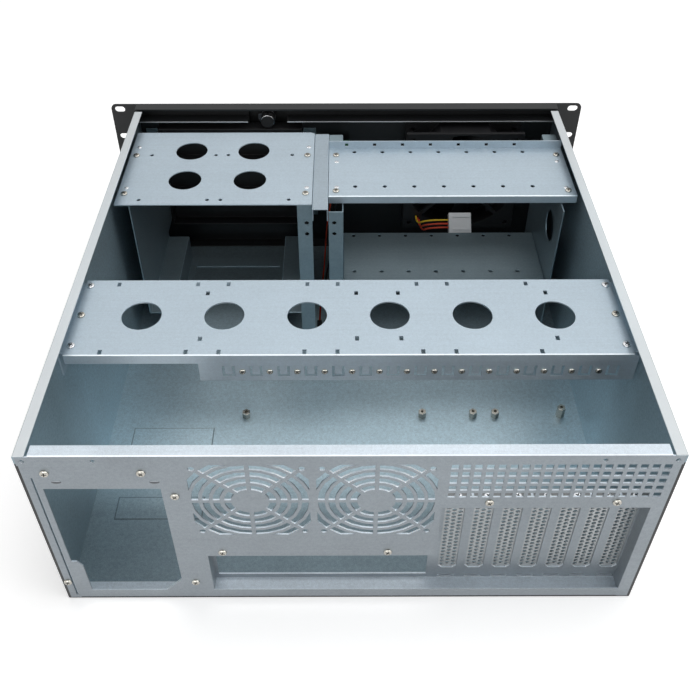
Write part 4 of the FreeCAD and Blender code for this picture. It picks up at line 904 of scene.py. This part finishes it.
def make_standoff_pieces():
    """Six-sided standoffs with a threaded hole each."""
    form = bmesh.new()
    hole, depth = 1.6 * MM, 3.0 * MM
    sixth = math.pi / 6
    for low, high in islands("standoffs"):
        height = high.z - low.z
        corner = (high.y - low.y) / 2 / math.cos(sixth)
        post = lathe([
            (corner, 0.0), (corner, height - 0.35 * MM), (corner * 0.9, height), (hole, height),
            (hole, height - depth), (0, height - depth)], 6)
        middle = (low + high) / 2
        turn = Matrix.Rotation(sixth, 4, "Z")
        add_form(form, moved(post, Matrix.Translation((middle.x, middle.y, low.z)) @ turn))
    finish_mesh("hex_standoffs", form, "passivated_screw", "standoffs")


def blade_point(turn, side, along, chordwise, root, tip):
    """A point of a swept and twisted fan blade: angle about the axle, radius and height over the mid plane."""
    radius = root + (tip - root) * along
    pitch = math.radians(50 - 16 * along)
    chord = (17 + 17 * along) * MM
    half_thickness, flatten, limit, sweep = 0.7 * MM, 0.82, 8.2 * MM, 0.22
    camber = (0.25 - chordwise * chordwise) * 0.32 * chord
    lift = camber + side * half_thickness * math.sqrt(max(0.0, 1 - (2.02 * chordwise) ** 2) + 0.05)
    around = chordwise * chord * math.cos(pitch) - lift * math.sin(pitch)
    height = chordwise * chord * math.sin(pitch) + lift * math.cos(pitch)
    height = max(-limit, min(limit, height * flatten))
    return turn + around / radius + sweep * along * along, radius, height


def make_fan():
    """The fan's rotor, with swept and twisted blades on a round hub."""
    low, high, middle = placed("fan_rotor")
    depth, hub, tip, axle = 18.0 * MM, 20.0 * MM, 54.0 * MM, 1.5 * MM
    length = high.y - low.y
    form = lathe([
        (0, 0.0), (hub * 0.35, 0.0), (hub * 0.37, 0.3 * MM), (hub * 0.86, 0.3 * MM), (hub * 0.95, 0.5 * MM),
        (hub, 1.6 * MM), (hub, 17.0 * MM), (hub * 0.96, depth), (axle, depth), (axle, length), (0, length)], 56)
    form = moved(form, standing_at((0, low.y, 0)))
    mid_plane = low.y + depth / 2
    root = hub - 0.6 * MM
    spans, chords = 9, 9
    for blade in range(sizes().blade_count):
        turn = 2 * math.pi * blade / sizes().blade_count
        layers = []
        for side in (-1, 1):
            rows = []
            for i in range(spans + 1):
                spots = [blade_point(turn, side, i / spans, k / chords - 0.5, root, tip)
                         for k in range(chords + 1)]
                rows.append([form.verts.new((radius * math.cos(angle), mid_plane + y, radius * math.sin(angle)))
                             for angle, radius, y in spots])
            layers.append(rows)
        front, back = layers
        for i in range(spans):
            for k in range(chords):
                for rows in layers:
                    form.faces.new((rows[i][k], rows[i + 1][k], rows[i + 1][k + 1], rows[i][k + 1]))
            for k in (0, chords):
                form.faces.new((front[i][k], front[i + 1][k], back[i + 1][k], back[i][k]))
        for k in range(chords):
            form.faces.new((front[spans][k], front[spans][k + 1], back[spans][k + 1], back[spans][k]))
    moved(form, Matrix.Translation((middle.x, 0, middle.z)))
    smooth_piece(45, "fan_blades", form, "black_plastic", "fan_rotor", body="fan")
    dressed("fan_frame", "black_plastic", 0.5 * MM)


def make_plug():
    """The fan's white plug: a broad housing with two rails and four sockets."""
    low, high, middle = placed("fan_plug")
    half = Vector(((high.x - low.x) / 2, 11.0 * MM, 5.5 * MM))
    rail, rise, pitch = 1.2 * MM, 0.6 * MM, 5.08 * MM
    form = bmesh.new()
    block(form, (-half.x, -half.y, -half.z + 0.7 * MM), (half.x, half.y, half.z - 0.7 * MM), 0.9 * MM)
    for y in (-half.y * 0.62, half.y * 0.62):
        for z in (-1, 1):
            height = z * (half.z - rise)
            block(form, (-half.x + 1.5 * MM, y - rail, height - rise),
                  (half.x - 4.0 * MM, y + rail, height + rise), 0.3 * MM)
    across = Vector((0, -math.cos(PLUG_LEAN), math.sin(PLUG_LEAN)))
    under = Vector((0, -math.sin(PLUG_LEAN), -math.cos(PLUG_LEAN)))
    turn = Matrix((Vector((1, 0, 0)), across, under)).transposed().to_4x4()
    place = Matrix.Translation(middle) @ turn
    smooth_piece(40, "fan_plug_housing", moved(form, place), "connector_white", "fan_plug")
    # The sockets are near black discs: painted shade in place of holes.
    sockets = bmesh.new()
    bore, proud = 1.9 * MM, 0.12 * MM
    for i in range(4):
        seat = standing_at((-half.x + proud, (i - 1.5) * pitch, 0), (-1, 0, 0))
        add_form(sockets, moved(lathe([(bore, 0.0), (bore, proud), (0, proud)], 20), place @ seat))
    finish_mesh("fan_plug_sockets", sockets, "hole_shade", slot="connector_white")


def make_dimples():
    """Pressed dimples beside the screws of both cages, and two lances under the rear screws."""
    seats = [Vector(((low.x + high.x) / 2, (low.y + high.y) / 2, high.z - HEAD_HEIGHT))
             for low, high in islands("cage_screws")]
    points = []
    for x, y in ((202.5, -69.8), (202.5, -138.2), (37.0, -69.8), (37.0, -138.2), (9.7, -112.0), (9.6, -70.4),
                 (-200.4, -112.0), (-200.8, -68.7)):
        near = min(seats, key=lambda seat: (seat.xy - Vector((x * MM, y * MM))).length)
        points.append((x * MM, y * MM, near.z))
    mesh = copies("cage_dimples", points, dome_form(), UP, 2.1 * MM)
    # The dimples, pressed in the plated sheet, take the brighter screw steel: a painted highlight.
    smooth_piece(60, "cage_dimples", mesh, "steel_screw", slot="plated_sheet")
    # The lances take a near black copy of the rear plating, painted shade, with a painted highlight where they
    # look up.
    form = bmesh.new()
    for x, z in ((192.1, 148.5), (127.9, 148.3)):
        lance = moved(dome_form(), Matrix.Diagonal((3.4 * MM, 1.5 * MM, 2.6 * MM, 1.0)))
        place = Matrix.Translation((x * MM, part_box("rear_panel")[1].y - 0.02 * MM, z * MM))
        add_form(form, moved(lance, place @ Matrix.Rotation(-math.pi / 2, 4, "X")))
    smooth_piece(60, "rear_lances", form, "pressed_lance", slot="rear_steel")


# ---------- leads


def fan_lead_route(i):
    """Route of one of the three leads from the fan's face into its plug, in millimetres."""
    middle = placed("fan_plug")[2] / MM
    face, spacing, rise = -173.8, 4.0, 14.0
    y = middle.y - spacing * math.cos(PLUG_LEAN) * (i - 1)
    z = middle.z + spacing * math.sin(PLUG_LEAN) * (i - 1)
    turn = -88.0 + 2.0 * i
    return [(turn + 8.0, face, z - rise), (turn + 8.0, y - 11.0, z - rise), (turn, y, z), (-108.0, y, z)]


def panel_lead_route(i):
    """Route of one of the two leads from the front panel's board along the floor, in millimetres."""
    x = 9.0 + 6.0 * i
    end = 20.775 + 7.2 * i
    low = 2.239
    return [(x, -189.2, 84.0), (x, -175.2, 84.0), (x + 7, -170.2 + i, 42.0), (x + 9, -162.2, low),
            (end + 3 - 5 * i, -125.6, low), (end, -78.0, low), (end, -62.0, low)]


def make_lead(name, points, material, node):
    """One small lead along its route, as a smooth curve."""
    curve = bpy.data.curves.new(name, "CURVE")
    curve.dimensions = "3D"
    curve.bevel_depth = sizes().lead_diameter / 2
    curve.bevel_resolution = 3
    curve.resolution_u = 10
    curve.use_fill_caps = True
    spline = curve.splines.new("NURBS")
    spline.points.add(len(points) - 1)
    for place, point in zip(spline.points, points):
        place.co = (point[0] * MM, point[1] * MM, point[2] * MM, 1.0)
    spline.order_u = 3
    spline.use_endpoint_u = True
    curve.materials.append(MATERIALS[material])
    piece = add_object(name, curve)
    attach(piece, "case")
    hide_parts(node)


# ---------- stage


def make_camera():
    data = bpy.data.cameras.new("camera")
    camera = add_object("camera", data)
    camera.location = (0.0048, 0.5732, 0.6165)
    camera.rotation_euler = Euler((math.radians(49.239), math.radians(0.063), math.radians(179.866)))
    data.sensor_width = 36.0
    data.lens = 43.856
    data.shift_x = 0.0100
    data.shift_y = -0.1111
    data.clip_start = 0.01
    bpy.context.scene.camera = camera


def area_light(name, place, target, size, watts):
    data = bpy.data.lights.new(name, "AREA")
    data.shape = "RECTANGLE"
    data.size, data.size_y = size
    data.energy = watts
    light = add_object(name, data)
    light.location = place
    light.rotation_euler = (Vector(target) - Vector(place)).to_track_quat("-Z", "Y").to_euler()
    return light


def make_lights():
    overhead = area_light("overhead", (-0.25, -0.2, 1.9), (0, 0, 0.1), (1.8, 1.4), 20)
    overhead.visible_glossy = False
    area_light("side", (-1.6, 0.6, 1.2), (0, 0, 0.1), (1.0, 1.0), 5)
    area_light("rear_fill", (0.6, 2.0, 0.9), (0, 0.2, 0.1), (1.2, 1.0), 6)


def make_floor():
    form = bmesh.new()
    bmesh.ops.create_grid(form, x_segments=1, y_segments=1, size=4.0)
    floor = add_object("floor", mesh_of("floor", form))
    graph, inputs = start_material("floor_card")
    graph.feed(inputs["Base Color"], (0.9, 0.9, 0.9))
    graph.feed(inputs["Roughness"], 0.9)
    rays = graph.add("ShaderNodeLightPath").outputs
    seen = graph.maths("MAXIMUM", rays["Is Camera Ray"], rays["Is Glossy Ray"])
    seen = graph.maths("MAXIMUM", seen, rays["Is Transmission Ray"])
    graph.feed(inputs["Emission Color"], (1, 1, 1))
    graph.feed(inputs["Emission Strength"], graph.times(seen, 0.42))
    floor.data.materials.append(MATERIALS["floor_card"])


def make_world():
    """A white studio: plain to the camera, and pale walls under a dark ceiling to what reflects it."""
    world = bpy.data.worlds.new("studio")
    bpy.context.scene.world = world
    world.use_nodes = True
    graph = Graph(world.node_tree)
    rays = graph.add("ShaderNodeLightPath").outputs
    seen = graph.maths("MAXIMUM", rays["Is Camera Ray"], rays["Is Transmission Ray"])
    x, _, z = graph.axes(graph.coordinates("Generated"))
    fill = 0.36
    walls = graph.times(graph.ranged(z, 0.5, 0.68, 0.72, 0.98), graph.ranged(x, 0.05, 0.3, 1.0, 0.85))
    for low, high, brightness in ((0.695, 0.766, 0.7), (0.77, 0.80, 0.9)):
        walls = graph.maths("ADD", walls, graph.ranged(z, low, high, 0.0, brightness))
    ceiling = graph.ranged(z, 0.834, 0.875, 1.0, 0.12)
    glossy = graph.times(rays["Is Glossy Ray"], graph.times(walls, ceiling))
    soft = graph.times(graph.maths("SUBTRACT", 1.0, rays["Is Glossy Ray"]), fill)
    inputs = world.node_tree.nodes["Background"].inputs
    graph.feed(inputs["Color"], (1, 1, 1))
    graph.feed(inputs["Strength"], graph.maths("MAXIMUM", seen, graph.maths("ADD", glossy, soft)))
    bpy.context.scene.view_settings.view_transform = "Standard"


# ---------- operators


class CASE_OT_finishes(bpy.types.Operator):
    """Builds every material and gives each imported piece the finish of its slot"""

    bl_idname = "case.finishes"
    bl_label = "Finishes"

    def execute(self, context):
        make_materials()
        for part in frame["record"]["subparts"]:
            materials = frame["nodes"][part["node"]].data.materials
            materials.clear()
            slot = part["material_slot"]
            materials.append(MATERIALS["black_plastic" if slot == "switch_plastic" else slot])
        return {"FINISHED"}


class CASE_OT_chassis(bpy.types.Operator):
    """Dresses the tray, the inner front frame and the rack panel"""

    bl_idname = "case.chassis"
    bl_label = "Chassis"

    def execute(self, context):
        dressed("tray", "chassis_steel")
        dressed("front_frame", "painted_frame", slot="black_paint")
        dressed("front_panel", "black_paint", 0.4 * MM)
        return {"FINISHED"}


class CASE_OT_rear(bpy.types.Operator):
    """Dresses the rear panel and the slot recess, and makes the perforated slot covers"""

    bl_idname = "case.rear"
    bl_label = "Rear panel"

    def execute(self, context):
        dress_all("rear_steel", "rear_panel", "slot_recess")
        for node in sorted(n for n in frame["nodes"] if n.startswith("slot_cover_")):
            perforated_cover(node)
        return {"FINISHED"}


class CASE_OT_cages(bpy.types.Operator):
    """Dresses the drive cages, the channel cover, the crossbar and the card clamp"""

    bl_idname = "case.cages"
    bl_label = "Cages and crossbar"

    def execute(self, context):
        dressed("channel_cover", "plated_darker", slot="plated_sheet")
        dress_all("plated_sheet", "bay_plate", "disk_plate", "crossbar", "crossbar_bracket_left",
                  "crossbar_bracket_right", "card_clamp")
        dress_all("cage_steel", "bay_wall_left", "bay_wall_right", "bay_tie", "disk_wall_left",
                  "disk_wall_right", "disk_shelf")
        return {"FINISHED"}


class CASE_OT_screws(bpy.types.Operator):
    """Puts cross recessed pan head screws in every screw's place"""

    bl_idname = "case.screws"
    bl_label = "Screws"

    def execute(self, context):
        radius = sizes().screw_radius
        for name, node, axis, material, size in (
                ("rear_face_screws", "rear_screws", REARWARD, "passivated_screw", radius),
                ("cage_top_screws", "cage_screws", UP, "passivated_screw", radius),
                ("cover_tab_screws", "cover_screws", UP, "steel_screw", radius),
                ("clamp_strip_screws", "clamp_screws", REARWARD, "passivated_screw", radius * 0.8),
                ("fan_mount_screws", "fan_screws", FORWARD, "dark_screw", radius)):
            place_screws(name, node, axis, material, size)
        node, middle_y, near = "bar_screws", placed("bar_screws")[2].y, 8 * MM
        place_screws("crossbar_end_screws", node, UP, "steel_screw", radius,
                     lambda p: abs(p.y - middle_y) > near)
        place_screws("crossbar_middle_screws", node, UP, "passivated_screw", radius,
                     lambda p: abs(p.y - middle_y) <= near, in_place=False)
        return {"FINISHED"}


class CASE_OT_front(bpy.types.Operator):
    """Makes the door, hinges, lock, handles, bay covers, buttons, lamps and the fan"""

    bl_idname = "case.front"
    bl_label = "Front and fan"

    def execute(self, context):
        dressed("door", "black_paint", 0.6 * MM, body="door")
        dress_all("black_paint", "hinge_lug_left", "hinge_lug_right", width=0.3 * MM)
        dressed("hinge_pins", "steel_screw", 0.2 * MM, "dark_screw")
        dress_all("black_plastic", "bay_cover_1", "bay_cover_2", "bay_cover_3", width=0.6 * MM)
        round_handle("handle_left")
        round_handle("handle_right")
        dressed("handle_screws", "dark_screw", 0.3 * MM)
        make_lock()
        make_buttons()
        make_fan()
        return {"FINISHED"}


class CASE_OT_inside(bpy.types.Operator):
    """Makes the control board's pieces, the filter, the standoffs, the fan's plug and the dimples"""

    bl_idname = "case.inside"
    bl_label = "Inside"

    def execute(self, context):
        dressed("control_board", "board_green", 0.15 * MM)
        dressed("board_posts", "black_plastic", 0.2 * MM, "switch_plastic")
        dress_all("black_plastic", "switches", "lead_housings", width=0.3 * MM, slot="switch_plastic")
        dressed("dust_filter", "dust_filter", 0.1 * MM, "black_plastic")
        make_standoff_pieces()
        make_plug()
        make_dimples()
        return {"FINISHED"}


class CASE_OT_leads(bpy.types.Operator):
    """Lays the small leads of the fan and of the front panel's board"""

    bl_idname = "case.leads"
    bl_label = "Leads"

    def execute(self, context):
        for kind, route, leads in (
                ("fan", fan_lead_route, ((0.0551, "lead_red"), (0.0540, "lead_red"), (0.0530, "lead_yellow"))),
                ("panel", panel_lead_route, ((0.1867, "lead_black"), (0.1864, "lead_red")))):
            for i, (length, material) in enumerate(leads):
                make_lead(f"{kind}_wire_{i + 1}", route(i), material, f"{kind}_lead_{i + 1}")
        return {"FINISHED"}


class CASE_OT_stage(bpy.types.Operator):
    """Adds the camera, the soft lights and the pale floor"""

    bl_idname = "case.stage"
    bl_label = "Stage"

    def execute(self, context):
        make_camera()
        make_lights()
        make_floor()
        make_world()
        return {"FINISHED"}


# ---------- panel and registration


STEPS = ("finishes", "stage", "leads", "chassis", "rear", "cages", "screws", "front", "inside")


class CASE_PT_sidebar(bpy.types.Panel):
    """Lists the sizes, the colours and the steps that dress the case"""

    bl_label = "Server case"
    bl_idname = "CASE_PT_sidebar"
    bl_space_type = "VIEW_3D"
    bl_region_type = "UI"
    bl_category = "Server case"

    def draw(self, context):
        layout = self.layout
        for settings in (context.scene.case_sizes, context.scene.case_colours):
            box = layout.box()
            for name in settings.bl_rna.properties.keys():
                if name not in ("rna_type", "name"):
                    box.prop(settings, name)
        for step in STEPS:
            layout.operator("case." + step)


CLASSES = (
    CaseSizes, CaseColours, CASE_OT_finishes, CASE_OT_chassis, CASE_OT_rear, CASE_OT_cages, CASE_OT_screws,
    CASE_OT_front, CASE_OT_inside, CASE_OT_leads, CASE_OT_stage, CASE_PT_sidebar)


def register():
    for item in CLASSES:
        bpy.utils.register_class(item)
    bpy.types.Scene.case_sizes = bpy.props.PointerProperty(type=CaseSizes)
    bpy.types.Scene.case_colours = bpy.props.PointerProperty(type=CaseColours)


def unregister():
    del bpy.types.Scene.case_colours
    del bpy.types.Scene.case_sizes
    for item in reversed(CLASSES):
        bpy.utils.unregister_class(item)


def main():
    register()
    for step in STEPS:
        getattr(bpy.ops.case, step)()


if __name__ == "__main__":
    main()
